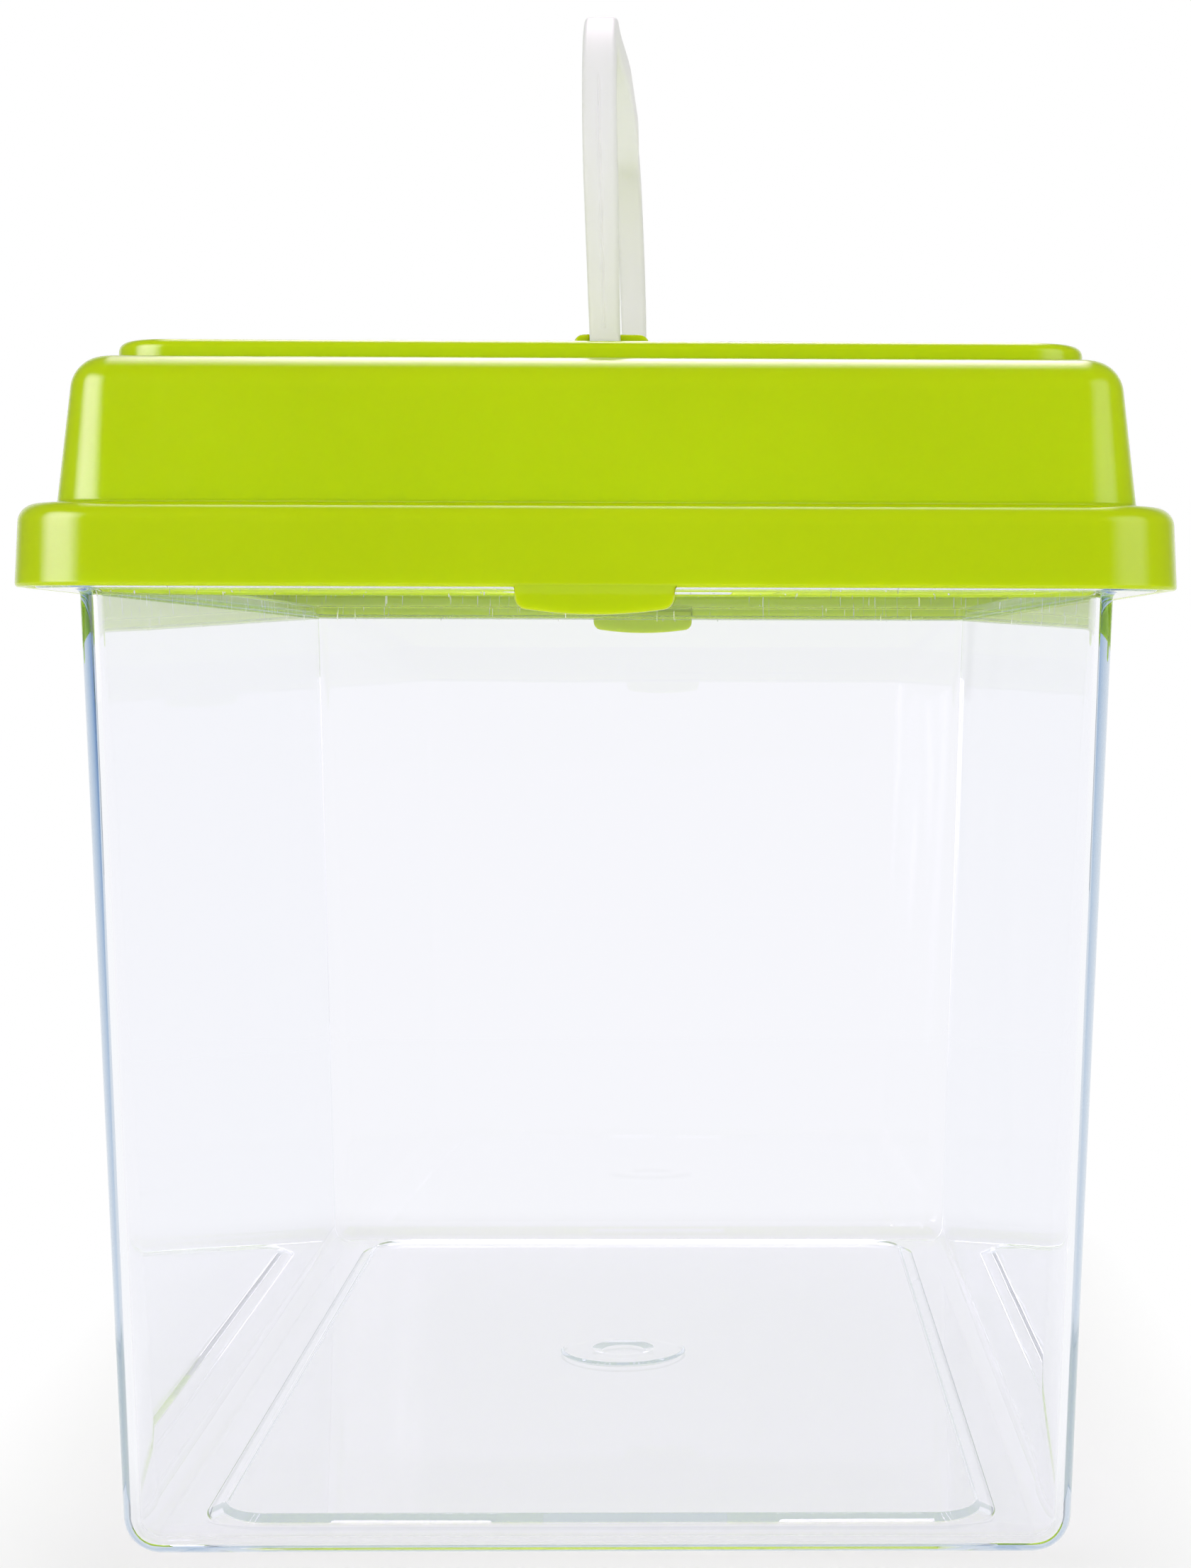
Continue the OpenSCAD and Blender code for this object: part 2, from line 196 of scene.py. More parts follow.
class Solid:
    """A closed mesh in the making, in millimetres until it is finished."""

    def __init__(self, name: str) -> None:
        """Starts an empty mesh.

        Args:
            name: the name of the piece.
        """
        self.name = name
        self.bm = bmesh.new()

    def loops(self, rows: Sequence[Sequence[Vector]]) -> "Solid":
        """Joins rows of points by quads and caps both ends, each row being a closed loop.

        Args:
            rows: loops with the same number of points.

        Returns:
            This solid.
        """
        made = [[self.bm.verts.new(p) for p in row] for row in rows]
        count = len(made[0])
        for low, high in zip(made, made[1:]):
            for k in range(count):
                n = (k + 1) % count
                self.bm.faces.new((low[k], low[n], high[n], high[k]))
        self.bm.faces.new(list(reversed(made[0])))
        self.bm.faces.new(made[-1])
        return self

    def skin(self, rings: Sequence[Ring], turns: int) -> "Solid":
        """Adds a closed skin through rings, with its fillets.

        Args:
            rings: the corners of its section, from one flat end to the other.
            turns: facets in each plan corner.

        Returns:
            This solid.
        """
        return self.loops([ring_points(r, turns) for r in rounded(rings)])

    def prism(self, outline: Sequence[Pair], low: float, high: float,
              place: Callable[[float, float, float], Vector]) -> "Solid":
        """Adds a straight prism.

        Args:
            outline: the points of its outline.
            low: where it starts along its own axis.
            high: where it ends.
            place: turns (u, v, along) into a point of the keeper.

        Returns:
            This solid.
        """
        rows = [[place(u, v, w) for u, v in outline] for w in (low, high)]
        return self.loops(rows)

    def block(self, low: Sequence[float], high: Sequence[float]) -> "Solid":
        """Adds a plain block.

        Args:
            low: its lowest corner.
            high: its highest corner.

        Returns:
            This solid.
        """
        outline = [(low[0], low[1]), (high[0], low[1]), (high[0], high[1]), (low[0], high[1])]
        return self.prism(outline, low[2], high[2], upright)

    def finished(self) -> bpy.types.Object:
        """Welds the mesh, turns it outwards, scales it to metres and links it.

        Returns:
            The new object.
        """
        bmesh.ops.remove_doubles(self.bm, verts=self.bm.verts, dist=WELD)
        bmesh.ops.dissolve_degenerate(self.bm, edges=self.bm.edges, dist=THIN)
        bmesh.ops.recalc_face_normals(self.bm, faces=self.bm.faces)
        bmesh.ops.scale(self.bm, vec=(MM, MM, MM), verts=self.bm.verts)
        return meshed(self.name, self.bm)


def linked(name: str, data: bpy.types.ID) -> bpy.types.Object:
    """Makes an object of a mesh, a lamp or a camera and links it to the scene.

    Args:
        name: its name.
        data: what it shows.

    Returns:
        The new object.
    """
    made = bpy.data.objects.new(name, data)
    bpy.context.scene.collection.objects.link(made)
    return made


def meshed(name: str, bm: bmesh.types.BMesh) -> bpy.types.Object:
    """Makes an object of an edited mesh and frees the mesh.

    Args:
        name: its name.
        bm: the edited mesh.

    Returns:
        The new object.
    """
    mesh = bpy.data.meshes.new(name)
    bm.to_mesh(mesh)
    bm.free()
    return linked(name, mesh)


def upright(u: float, v: float, w: float) -> Vector:
    """Places a prism that stands along Z."""
    return Vector((u, v, w))


def lengthwise(u: float, v: float, w: float) -> Vector:
    """Places a prism that lies along Y, with u across and v up."""
    return Vector((u, w, v))


def arc(centre: Pair, radius: float, start: float, end: float,
        steps: int) -> list[Pair]:
    """Lists the points of an arc.

    Args:
        centre: its centre.
        radius: its radius.
        start: its first angle, in degrees.
        end: its last angle, in degrees.
        steps: its facets.

    Returns:
        Its points, both ends included.
    """
    angles = [math.radians(start + (end - start) * k / steps) for k in range(steps + 1)]
    return [(centre[0] + radius * math.cos(a), centre[1] + radius * math.sin(a)) for a in angles]


def disc(centre: Pair, radius: float, steps: int) -> list[Pair]:
    """Lists the points of a full circle, the first not repeated."""
    return arc(centre, radius, 0, 360, steps)[:-1]


def bake(piece: bpy.types.Object) -> None:
    """Turns the modifiers of a piece into its mesh.

    Args:
        piece: the piece.
    """
    bpy.context.view_layer.update()
    evaluated = piece.evaluated_get(bpy.context.evaluated_depsgraph_get())
    mesh = bpy.data.meshes.new_from_object(evaluated)
    piece.modifiers.clear()
    old = piece.data
    piece.data = mesh
    bpy.data.meshes.remove(old)
    mesh.name = piece.name


def combine(base: bpy.types.Object, other: bpy.types.Object, kind: BooleanKind) -> None:
    """Adds another mesh to a piece, or cuts it away, and drops the other one.

    Args:
        base: the piece that changes.
        other: the mesh that it is joined with or cut by.
        kind: whether to add or to cut.
    """
    modifier = base.modifiers.new("combine", "BOOLEAN")
    modifier.operation = kind.value
    modifier.solver = "EXACT"
    modifier.use_self = True
    modifier.object = other
    bake(base)
    spare = other.data
    bpy.data.objects.remove(other)
    bpy.data.meshes.remove(spare)


def tidy(piece: bpy.types.Object) -> None:
    """Welds a combined mesh and joins its flat neighbours into single faces.

    Args:
        piece: the piece.
    """
    bm = bmesh.new()
    bm.from_mesh(piece.data)
    bmesh.ops.remove_doubles(bm, verts=bm.verts, dist=BAKED_WELD)
    bmesh.ops.dissolve_limit(bm, angle_limit=math.radians(FLAT_ANGLE), verts=bm.verts,
                             edges=bm.edges)
    bmesh.ops.recalc_face_normals(bm, faces=bm.faces)
    bm.to_mesh(piece.data)
    bm.free()


def soften(piece: bpy.types.Object, edge: float, reach: float = math.inf) -> None:
    """Rounds the sharp edges of a piece and shades it as a moulding.

    Args:
        piece: the piece.
        edge: width of the rounding, or 0 for none.
        reach: how far along the keeper a rounded edge may stand out from the middle.
    """
    if edge > 0:
        bevel = piece.modifiers.new("edge", "BEVEL")
        bevel.width = edge * MM
        bevel.segments = 2
        bevel.limit_method = "ANGLE"
        bevel.angle_limit = math.radians(SHARP_ANGLE)
        bevel.use_clamp_overlap = False
        bevel.miter_outer = "MITER_ARC"
        bake(piece)
        for vertex in piece.data.vertices:
            vertex.co.y = min(max(vertex.co.y, -reach * MM), reach * MM)
    for face in piece.data.polygons:
        face.use_smooth = True
    normals = piece.modifiers.new("shading", "WEIGHTED_NORMAL")
    normals.mode = "FACE_AREA"
    normals.weight = 100
    normals.keep_sharp = False


# ------------------------------------------------------------------ finishes


class Nodes:
    """A short hand for building one node tree."""

    def __init__(self, tree: bpy.types.NodeTree) -> None:
        """Starts from an empty tree.

        Args:
            tree: the node tree to fill.
        """
        tree.nodes.clear()
        self.tree = tree

    def add(self, kind: str, **inputs: object) -> bpy.types.Node:
        """Adds a node and sets or links its inputs.

        Args:
            kind: the node's type name.
            inputs: values or output sockets by input name, with _ for a space; a name
                that is a property of the node is set as one.

        Returns:
            The new node.
        """
        node = self.tree.nodes.new(kind)
        for key, value in inputs.items():
            title = key.replace("_", " ")
            if title in node.inputs or title.title() in node.inputs:
                socket = node.inputs[title if title in node.inputs else title.title()]
                self.feed(socket, value)
            else:
                setattr(node, key, value)
        return node

    def feed(self, socket: Socket, value: object) -> None:
        """Links a socket to an output, or gives it a plain value.

        Args:
            socket: the input.
            value: an output socket or a plain value.
        """
        if isinstance(value, Socket):
            self.tree.links.new(value, socket)
        else:
            socket.default_value = value

    def math(self, operation: str, *values: object) -> Socket:
        """Adds a Math node.

        Args:
            operation: what it does.
            values: its inputs, in order.

        Returns:
            Its output.
        """
        node = self.tree.nodes.new("ShaderNodeMath")
        node.operation = operation
        for socket, value in zip(node.inputs, values):
            self.feed(socket, value)
        return node.outputs[0]

    def blend(self, share: object, first: object, second: object) -> Socket:
        """Adds a colour mix.

        Args:
            share: how much of the second colour shows.
            first: the first colour.
            second: the second colour.

        Returns:
            Its output.
        """
        node = self.tree.nodes.new("ShaderNodeMix")
        node.data_type = "RGBA"
        self.feed(node.inputs["Factor"], share)
        self.feed(node.inputs["A"], first)
        self.feed(node.inputs["B"], second)
        return node.outputs["Result"]

    def mixed(self, share: object, first: bpy.types.Node,
              second: bpy.types.Node) -> bpy.types.Node:
        """Adds a mix of two shaders.

        Args:
            share: how much of the second shader shows.
            first: the first shader.
            second: the second shader.

        Returns:
            The mix.
        """
        node = self.tree.nodes.new("ShaderNodeMixShader")
        for socket, value in zip(node.inputs, (share, first.outputs[0], second.outputs[0])):
            self.feed(socket, value)
        return node

    def ramp(self, value: Socket, low: float, high: float,
             start: float = 0.0, end: float = 1.0) -> Socket:
        """Maps a value from one range to another, and clamps it.

        Args:
            value: the value.
            low: the input that gives start.
            high: the input that gives end.
            start: the output at low.
            end: the output at high.

        Returns:
            The mapped value.
        """
        node = self.tree.nodes.new("ShaderNodeMapRange")
        self.feed(node.inputs["Value"], value)
        for key, number in (("From Min", low), ("From Max", high), ("To Min", start), ("To Max", end)):
            node.inputs[key].default_value = number
        return node.outputs["Result"]

    def noise(self, at: Socket, scale: float, detail: float,
              stretch: Sequence[float] = (1, 1, 1)) -> Socket:
        """Adds noise in object space.

        Args:
            at: the coordinates.
            scale: its scale, per metre.
            detail: its octaves.
            stretch: scale along each axis.

        Returns:
            Its value.
        """
        mapped = self.add("ShaderNodeMapping", Vector=at, Scale=tuple(stretch))
        node = self.add("ShaderNodeTexNoise", Vector=mapped.outputs[0], Scale=scale, Detail=detail)
        return node.outputs["Fac"]


def grey(value: float) -> Colour:
    """Returns the plain grey of this brightness."""
    return value, value, value, 1.0


def new_material(name: str) -> tuple[bpy.types.Material, Nodes]:
    """Makes an empty material.

    Args:
        name: its name.

    Returns:
        The material and its node tree.
    """
    material = bpy.data.materials.new(name)
    material.use_nodes = True
    return material, Nodes(material.node_tree)


@dataclass(frozen=True)
class ColouredPlastic:
    """A coloured moulding that light enters a little way.

    Attributes:
        name: the name of its material.
        colour: its main colour.
        shade: the colour of its faint flow marks.
        gloss: its mean roughness.
        uneven: how far the roughness strays to either side.
        mirror: its specular level.
        cloud: scale of the flow marks, per metre.
        cloud_range: the noise values between which the two colours blend.
        grain: scale of the fine unevenness, per metre.
        peel: strength of the fine unevenness.
        peel_height: height of the fine unevenness.
        glow_depth: how deep light enters.
        glow_spread: that depth's share in red, green and blue.
        glow: share of the light that enters.
        ior: its refractive index.
        grain_range: the noise values between which the roughness changes.
    """

    name: str
    colour: Colour
    shade: Colour
    gloss: float
    uneven: float
    mirror: float
    cloud: float
    cloud_range: Pair
    grain: float
    peel: float
    peel_height: float
    glow_depth: float
    glow_spread: Triple
    glow: float = 1.0
    ior: float = 1.46
    grain_range: Pair = (0.3, 0.7)

    def build(self) -> bpy.types.Material:
        """Builds the material, with faint flow marks and a very slightly uneven gloss.

        Returns:
            The material.
        """
        material, n = new_material(self.name)
        at = n.add("ShaderNodeTexCoord").outputs["Object"]
        cloud = n.noise(at, self.cloud, 3)
        fine = n.noise(at, self.grain, 2)
        colour = n.blend(n.ramp(cloud, *self.cloud_range), self.shade, self.colour)
        rough = n.ramp(fine, *self.grain_range, self.gloss - self.uneven, self.gloss + self.uneven)
        bump = n.add("ShaderNodeBump", Strength=self.peel, Distance=self.peel_height * MM,
                     Height=fine)
        shader = n.add("ShaderNodeBsdfPrincipled", Base_Color=colour, Roughness=rough, IOR=self.ior,
                       Normal=bump.outputs[0])
        shader.inputs["Specular IOR Level"].default_value = self.mirror
        shader.inputs["Subsurface Weight"].default_value = self.glow
        shader.inputs["Subsurface Radius"].default_value = self.glow_spread
        shader.inputs["Subsurface Scale"].default_value = self.glow_depth * MM
        n.add("ShaderNodeOutputMaterial", Surface=shader.outputs[0])
        return material


@dataclass(frozen=True)
class LimePlastic(ColouredPlastic):
    """The glossy lime moulding of the lid."""

    name: str = "lime_moulding"
    colour: Colour = (0.535, 0.675, 0.0008, 1.0)
    shade: Colour = (0.515, 0.655, 0.0005, 1.0)
    gloss: float = 0.15
    uneven: float = 0.03
    mirror: float = 0.35
    cloud: float = 22.0
    cloud_range: Pair = (0.35, 0.65)
    grain: float = 420.0
    peel: float = 0.03
    peel_height: float = 0.4
    glow_depth: float = 2.0
    glow_spread: Triple = (1.0, 1.0, 0.3)


@dataclass(frozen=True)
class WhitePlastic(ColouredPlastic):
    """The satin white moulding of the handle."""

    name: str = "white_moulding"
    colour: Colour = (0.88, 0.86, 0.93, 1.0)
    shade: Colour = (0.865, 0.845, 0.915, 1.0)
    gloss: float = 0.42
    uneven: float = 0.04
    mirror: float = 0.08
    cloud: float = 60.0
    cloud_range: Pair = (0.3, 0.7)
    grain: float = 900.0
    peel: float = 0.04
    peel_height: float = 0.3
    glow_depth: float = 10.0
    glow_spread: Triple = (1.0, 1.0, 0.95)


@dataclass(frozen=True)
class ClearPlastic:
    """The water clear moulding of the tank and of the feeding hatch.

    Attributes:
        name: the name of its material.
        tint: colour of its surface.
        depth_tint: the colour that its depth turns towards.
        depth: strength of that colour, per metre.
        through: share of the light that reaches what stands in its shadow.
        ior: its refractive index.
        mirror: its specular level.
        haze: its greatest roughness.
        scuff: scale of the haze, per metre.
        scuff_range: the noise values between which the haze grows.
        wave: strength of the faint waves of its surface.
        wave_scale: their scale, per metre.
        wave_height: their height.
        trapped: reflections after which light that is caught between faces is let out.
        rubbed: heights between which the lid has rubbed it.
        rub_pitch: scale of the rub marks, per metre.
        rub_stretch: their width as a share of their length.
        rub_share: the noise values between which a mark fades in.
        rub_white: brightness of a mark.
    """

    name: str
    tint: Colour = (0.978, 0.975, 0.992, 1.0)
    depth_tint: Colour = (0.25, 0.5, 0.75, 1.0)
    depth: float = 11.0
    through: Colour = (0.93, 0.94, 0.95, 1.0)
    ior: float = 1.5
    mirror: float = 0.3
    haze: float = 0.01
    scuff: float = 260.0
    scuff_range: Pair = (0.5, 0.8)
    wave: float = 0.03
    wave_scale: float = 16.0
    wave_height: float = 2.0
    trapped: float = 5.5
    rubbed: Pair = (0.0, 0.0)
    rub_pitch: float = 2400.0
    rub_stretch: float = 0.035
    rub_share: Pair = (0.70, 0.75)
    rub_white: float = 0.8

    def marks(self, n: Nodes, at: Socket) -> Socket:
        """Adds the fine upright marks that the lid rubs into the collar.

        Args:
            n: the node tree.
            at: the place on the piece.

        Returns:
            Their share, from 0 to 1.
        """
        height = n.add("ShaderNodeSeparateXYZ", Vector=at).outputs["Z"]
        streak = n.ramp(n.noise(at, self.rub_pitch, 1, (1, 1, self.rub_stretch)), *self.rub_share)
        above = n.math("GREATER_THAN", height, self.rubbed[0] * MM)
        below = n.math("LESS_THAN", height, self.rubbed[1] * MM)
        return n.math("MULTIPLY", n.math("MULTIPLY", above, below), streak)

    def build(self) -> bpy.types.Material:
        """Builds the material: clear, cooler in its depth, with faint waves and rub marks.

        Returns:
            The material.
        """
        material, n = new_material(self.name)
        at = n.add("ShaderNodeTexCoord").outputs["Object"]
        wave = n.noise(at, self.wave_scale, 1)
        scuff = n.noise(at, self.scuff, 4)
        bump = n.add("ShaderNodeBump", Strength=self.wave, Distance=self.wave_height * MM, Height=wave)
        rough = n.ramp(scuff, *self.scuff_range, 0.0, self.haze)
        glass = n.add("ShaderNodeBsdfPrincipled", Base_Color=self.tint, Roughness=rough, IOR=self.ior,
                      Normal=bump.outputs[0])
        glass.inputs["Transmission Weight"].default_value = 1.0
        glass.inputs["Specular IOR Level"].default_value = self.mirror
        rub = n.add("ShaderNodeBsdfDiffuse", Color=grey(self.rub_white))
        worn = n.mixed(self.marks(n, at), glass, rub)
        open_way = n.add("ShaderNodeBsdfTransparent", Color=self.through)
        path = n.add("ShaderNodeLightPath")
        piped = n.math("GREATER_THAN", path.outputs["Glossy Depth"], self.trapped)
        mix = n.mixed(n.math("MAXIMUM", path.outputs["Is Shadow Ray"], piped), worn, open_way)
        depth = n.add("ShaderNodeVolumeAbsorption", Color=self.depth_tint, Density=self.depth)
        n.add("ShaderNodeOutputMaterial", Surface=mix.outputs[0], Volume=depth.outputs[0])
        return material


def dress(piece: bpy.types.Object, material: bpy.types.Material, body: Body,
          node: str) -> None:
    """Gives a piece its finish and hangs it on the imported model.

    Args:
        piece: the piece.
        material: its finish.
        body: the body that it moves with.
        node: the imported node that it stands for.
    """
    piece.data.materials.clear()
    piece.data.materials.append(material)
    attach(piece, body.value)
    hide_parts(node)
    LOG.info("%s: %d faces", piece.name, len(piece.data.polygons))


# ------------------------------------------------------------------ tank


@dataclass
class Tank:
    """The clear tank: drafted walls, a wider collar under the lid and a panelled floor."""

    half_x: float
    half_y: float
    height: float
    wall: float = 2.0
    floor: float = 2.0
    draft: float = 4.35
    corner: float = 5.4
    upper_corner: float = 3.3
    bottom_round: float = 5.0
    edge: float = 0.5
    # The collar, its ledge and the band that the lid rubs.
    collar_height: float = 9.4
    collar_step: float = 5.95
    collar_corner: float = 10.05
    ledge_round: float = 0.9
    step_round: float = 0.8
    throat_round: float = 0.6
    rub_lap: float = 1.0
    # The raised panel in the floor.
    foot_band: float = 9.0
    panel_rise: float = 1.2
    panel_slope: float = 2.6
    panel_corner: float = 9.0
    panel_round: float = 0.8
    # The round gate pad and its dimple.
    gate: float = 10.5
    gate_rise: float = 0.4
    gate_round: float = 0.15
    dimple: float = 5.2
    dimple_slope: float = 1.6
    dimple_round: float = 0.2
    bowl_round: float = 0.6
    hub: float = 0.6
    # Facets in each plan corner.
    turns: int = 20

    @property
    def ledge(self) -> float:
        """Height of the underside of the collar."""
        return self.height - self.collar_height

    @property
    def rubbed(self) -> Pair:
        """Heights between which the lid rubs the collar."""
        return self.ledge - self.rub_lap, self.height

    def foot(self, inset: float = 0.0) -> Ring:
        """Returns the plan of the wall's foot, drawn in by inset, at the table."""
        out = self.collar_step + self.draft + inset
        return Ring(self.half_x - out, self.half_y - out, self.corner - inset, 0.0)

    def outside(self) -> list[Ring]:
        """Lists the corners of the outer skin, from the middle of the base to the top edge.

        Returns:
            The rings, in order.
        """
        panel = self.foot(self.foot_band)
        panel = replace(panel, radius=self.panel_corner, fillet=self.panel_round)
        inner = replace(panel.moved(-self.panel_slope, self.panel_rise), fillet=self.panel_round)
        hub = Ring(self.gate, self.gate, self.gate, self.panel_rise)
        under = self.foot().moved(self.draft, self.ledge)
        under = replace(under, radius=self.upper_corner, fillet=self.ledge_round)
        collar = Ring(self.half_x, self.half_y, self.collar_corner, self.ledge, self.edge, 3)
        top = replace(collar, z=self.height)
        heel = replace(self.foot(), fillet=self.bottom_round, steps=10)
        return [hub, inner, panel, heel, under, collar, top]

    def inside(self) -> list[Ring]:
        """Lists the corners of the inner skin, from the top edge to the middle of the floor.

        Returns:
            The rings, in order.
        """
        lip = Ring(self.half_x - self.wall, self.half_y - self.wall,
                   self.collar_corner - self.wall, self.height, self.edge, 3)
        step = replace(lip, z=self.ledge + self.wall, fillet=self.step_round)
        throat = self.foot(self.wall).moved(self.draft, self.ledge + self.wall)
        throat = replace(throat, radius=self.upper_corner - self.wall, fillet=self.throat_round)
        heel = replace(self.foot(self.wall), z=self.floor, fillet=self.bottom_round - self.wall,
                       steps=8)
        panel = replace(self.foot(self.foot_band), radius=self.panel_corner, z=self.floor,
                        fillet=self.panel_round)
        raised = replace(panel.moved(-self.panel_slope, self.panel_rise), fillet=self.panel_round)
        level = self.floor + self.panel_rise
        pad = Ring(self.gate, self.gate, self.gate, level, self.gate_round, 2)
        pad_top = replace(pad.moved(-self.gate_rise, self.gate_rise), fillet=self.gate_round,
                          steps=2)
        dimple = Ring(self.dimple, self.dimple, self.dimple, level + self.gate_rise,
                      self.dimple_round, 2)
        bowl = replace(dimple.moved(-self.dimple_slope, -self.gate_rise), fillet=self.bowl_round)
        middle = Ring(self.hub, self.hub, self.hub, level)
        return [lip, step, throat, heel, panel, raised, pad, pad_top, dimple, bowl, middle]

    def build(self, finish: ClearPlastic) -> bpy.types.Object:
        """Builds and dresses the tank.

        Args:
            finish: its clear plastic.

        Returns:
            The piece.
        """
        piece = Solid("tank_moulding").skin(self.outside() + self.inside(), self.turns).finished()
        soften(piece, 0.0)
        dress(piece, finish.build(), Body.TANK, "tank")
        return piece


# ------------------------------------------------------------------ lid


@dataclass
class Lid:
    """The lime lid: a rim over the collar, a dome, and a top panel with its openings."""

    half_x: float
    half_y: float
    skin: float = 1.6
    # The rim band.
    rim_top: float = 140.35
    rim_height: float = 10.9
    rim_draft: float = 0.5
    rim_corner: float = 12.0
    rim_round: float = 2.5
    hem_round: float = 0.3
    # The dome and the raised top panel.
    dome_inset: float = 4.95
    dome_corner: float = 8.0
    dome_height: float = 19.6
    dome_draft: float = 2.5
    dome_round: float = 4.6
    dome_foot_round: float = 0.7
    plateau_height: float = 2.8
    plateau_inset_x: float = 3.7
    plateau_inset_y: float = 8.0
    plateau_corner: float = 8.0
    plateau_round: float = 1.3
    plateau_draft: float = 0.05
    cap: float = 4.0
    fold_round: float = 0.5
    inner_round: float = 0.6
    edge: float = 0.3
    # The lift tabs.
    tab_width: float = 20.5
    tab_drop: float = 3.5
    tab_sag: float = 0.9
    tab: float = 2.0
    tab_lap: float = 1.0
    tab_flush: float = 0.15
    tab_round: float = 1.7
    # The vent slots.
    vent: float = 2.0
    vent_pitch: float = 6.0
    vent_gap: float = 8.0
    vent_edge: float = 6.5
    vent_end: float = 5.0
    # The seat, doorway, ears and bores of the hatch.
    hatch_length: float = 100.0
    hatch_width: float = 42.0
    hatch: float = 2.0
    hatch_corner: float = 4.0
    hatch_gap: float = 0.4
    hatch_ledge: float = 3.0
    ledge: float = 2.0
    border: float = 4.0
    barrel: float = 1.7
    hinge_rise: float = 0.4
    hinge_pin: float = 1.05
    pin_length: float = 3.4
    ear: float = 2.3
    ear_length: float = 4.0
    recess_gap: float = 0.05
    # The bosses, bores and troughs of the handle.
    boss_width: float = 10.8
    boss_shift: float = 0.5
    boss: float = 7.0
    boss_height: float = 3.9
    boss_round: float = 1.5
    boss_outer: float = 73.4
    pivot_rise: float = 2.0
    pivot_bore: float = 1.15
    bore_depth: float = 5.4
    arm_outer: float = 79.0
    trough: float = 0.7
    trough_length: float = 22.0
    trough_side: float = 2.6
    trough_gap: float = -0.2
    trough_end: float = 0.5
    # How far what is added sinks in, and how far cutters reach past a face.
    frame_sink: float = 0.5
    sink: float = 0.8
    cut_below: float = 3.0
    vent_over: float = 2.0
    recess_over: float = 8.0
    trough_over: float = 5.0
    over: float = 1.0
    # Facets.
    turns: int = 16
    corner_steps: int = 8
    slot_steps: int = 10
    ear_steps: int = 20
    tab_steps: int = 16
    tab_corner_steps: int = 6
    bore_steps: int = 24
    pin_steps: int = 20

    @property
    def dome_top(self) -> float:
        """Height of the dome's flat shoulder."""
        return self.rim_top + self.dome_height

    @property
    def top(self) -> float:
        """Height of the top panel."""
        return self.dome_top + self.plateau_height

    @property
    def hinge(self) -> Pair:
        """Place of the hatch's hinge line, across and up."""
        return -self.hatch_width / 2, self.top + self.hinge_rise

    def rim(self, inset: float, z: float, fillet: float = 0.0, steps: int = 4) -> Ring:
        """Returns the plan of the rim's foot, drawn in by inset, at height z."""
        return Ring(self.half_x - inset, self.half_y - inset, self.rim_corner - inset, z, fillet,
                    steps)

    def dome(self, inset: float, z: float, fillet: float = 0.0, steps: int = 4) -> Ring:
        """Returns the plan of the dome's foot, drawn in by inset, at height z."""
        out = self.dome_inset + inset
        return Ring(self.half_x - out, self.half_y - out, self.dome_corner - inset, z, fillet,
                    steps)

    def plateau(self, inset: float, z: float, fillet: float = 0.0, steps: int = 4) -> Ring:
        """Returns the plan of the top panel, drawn in by inset, at height z."""
        out = self.dome_inset + self.dome_draft + inset
        return Ring(self.half_x - out - self.plateau_inset_x,
                    self.half_y - out - self.plateau_inset_y,
                    self.plateau_corner - inset, z, fillet, steps)

    def sections(self) -> list[Ring]:
        """Lists the corners of the skin, from the ceiling's middle round the rim to the top.

        Returns:
            The rings, in order.
        """
        low = self.rim_top - self.rim_height
        seat = self.rim_top - self.skin
        drawn = self.dome_draft * self.rim_round / (self.rim_round + self.dome_height)
        return [
            self.plateau(self.skin + self.cap, self.top - self.skin),
            self.plateau(self.skin, self.top - self.skin, self.inner_round),
            self.plateau(self.skin, self.dome_top - self.skin, self.fold_round),
            self.dome(self.skin + self.dome_draft, self.dome_top - self.skin,
                      self.dome_round - self.skin, 6),
            self.dome(self.skin, seat, self.inner_round),
            self.rim(self.skin + self.rim_draft, seat, self.fold_round),
            self.rim(self.skin, low, self.hem_round, 3),
            self.rim(0, low, self.fold_round, 4),
            self.rim(self.rim_draft, self.rim_top, self.rim_round, 10),
            self.dome(drawn, self.rim_top, self.dome_foot_round, 4),
            self.dome(self.dome_draft, self.dome_top, self.dome_round, 14),
            self.plateau(0, self.dome_top, self.fold_round, 4),
            self.plateau(self.plateau_draft, self.top, self.plateau_round, 8),
            self.plateau(self.cap, self.top),
        ]

    def additions(self) -> bpy.types.Object:
        """Builds what stands on the skin: frame, ears, bosses and lift tabs.

        Returns:
            One mesh of them all.
        """
        solid = Solid("lid_additions")
        hinge_x, hinge_z = self.hinge
        side = self.ear + self.border
        end = self.hatch_length / 2 + self.hatch_gap + self.ear_length + self.border
        solid.block((hinge_x - side, -end, self.top - self.hatch - self.ledge),
                    (self.hatch_width / 2 + self.border, end, self.top - self.frame_sink))
        sink = self.top - self.sink
        ear = [(hinge_x - self.ear, sink), (hinge_x + self.ear, sink)]
        ear += arc((hinge_x, hinge_z), self.ear, 0, 180, self.ear_steps)
        r = self.boss_round
        half = self.boss_width / 2
        head = self.top + self.boss_height - r
        left, right = self.boss_shift - half, self.boss_shift + half
        boss = [(left, sink), (right, sink)]
        boss += arc((right - r, head), r, 0, 90, self.corner_steps)
        boss += arc((left + r, head), r, 90, 180, self.corner_steps)
        low = self.rim_top - self.rim_height - self.tab_drop
        bow = (self.tab_width ** 2 / 4 + self.tab_sag ** 2) / (2 * self.tab_sag)
        corner_x = self.tab_width / 2 - self.tab_round
        spread = math.degrees(math.asin(corner_x / bow))
        corner_z = low + bow - math.sqrt(bow ** 2 - corner_x ** 2) + self.tab_round
        tab = arc((-corner_x, corner_z), self.tab_round, 180, 270, self.tab_corner_steps)
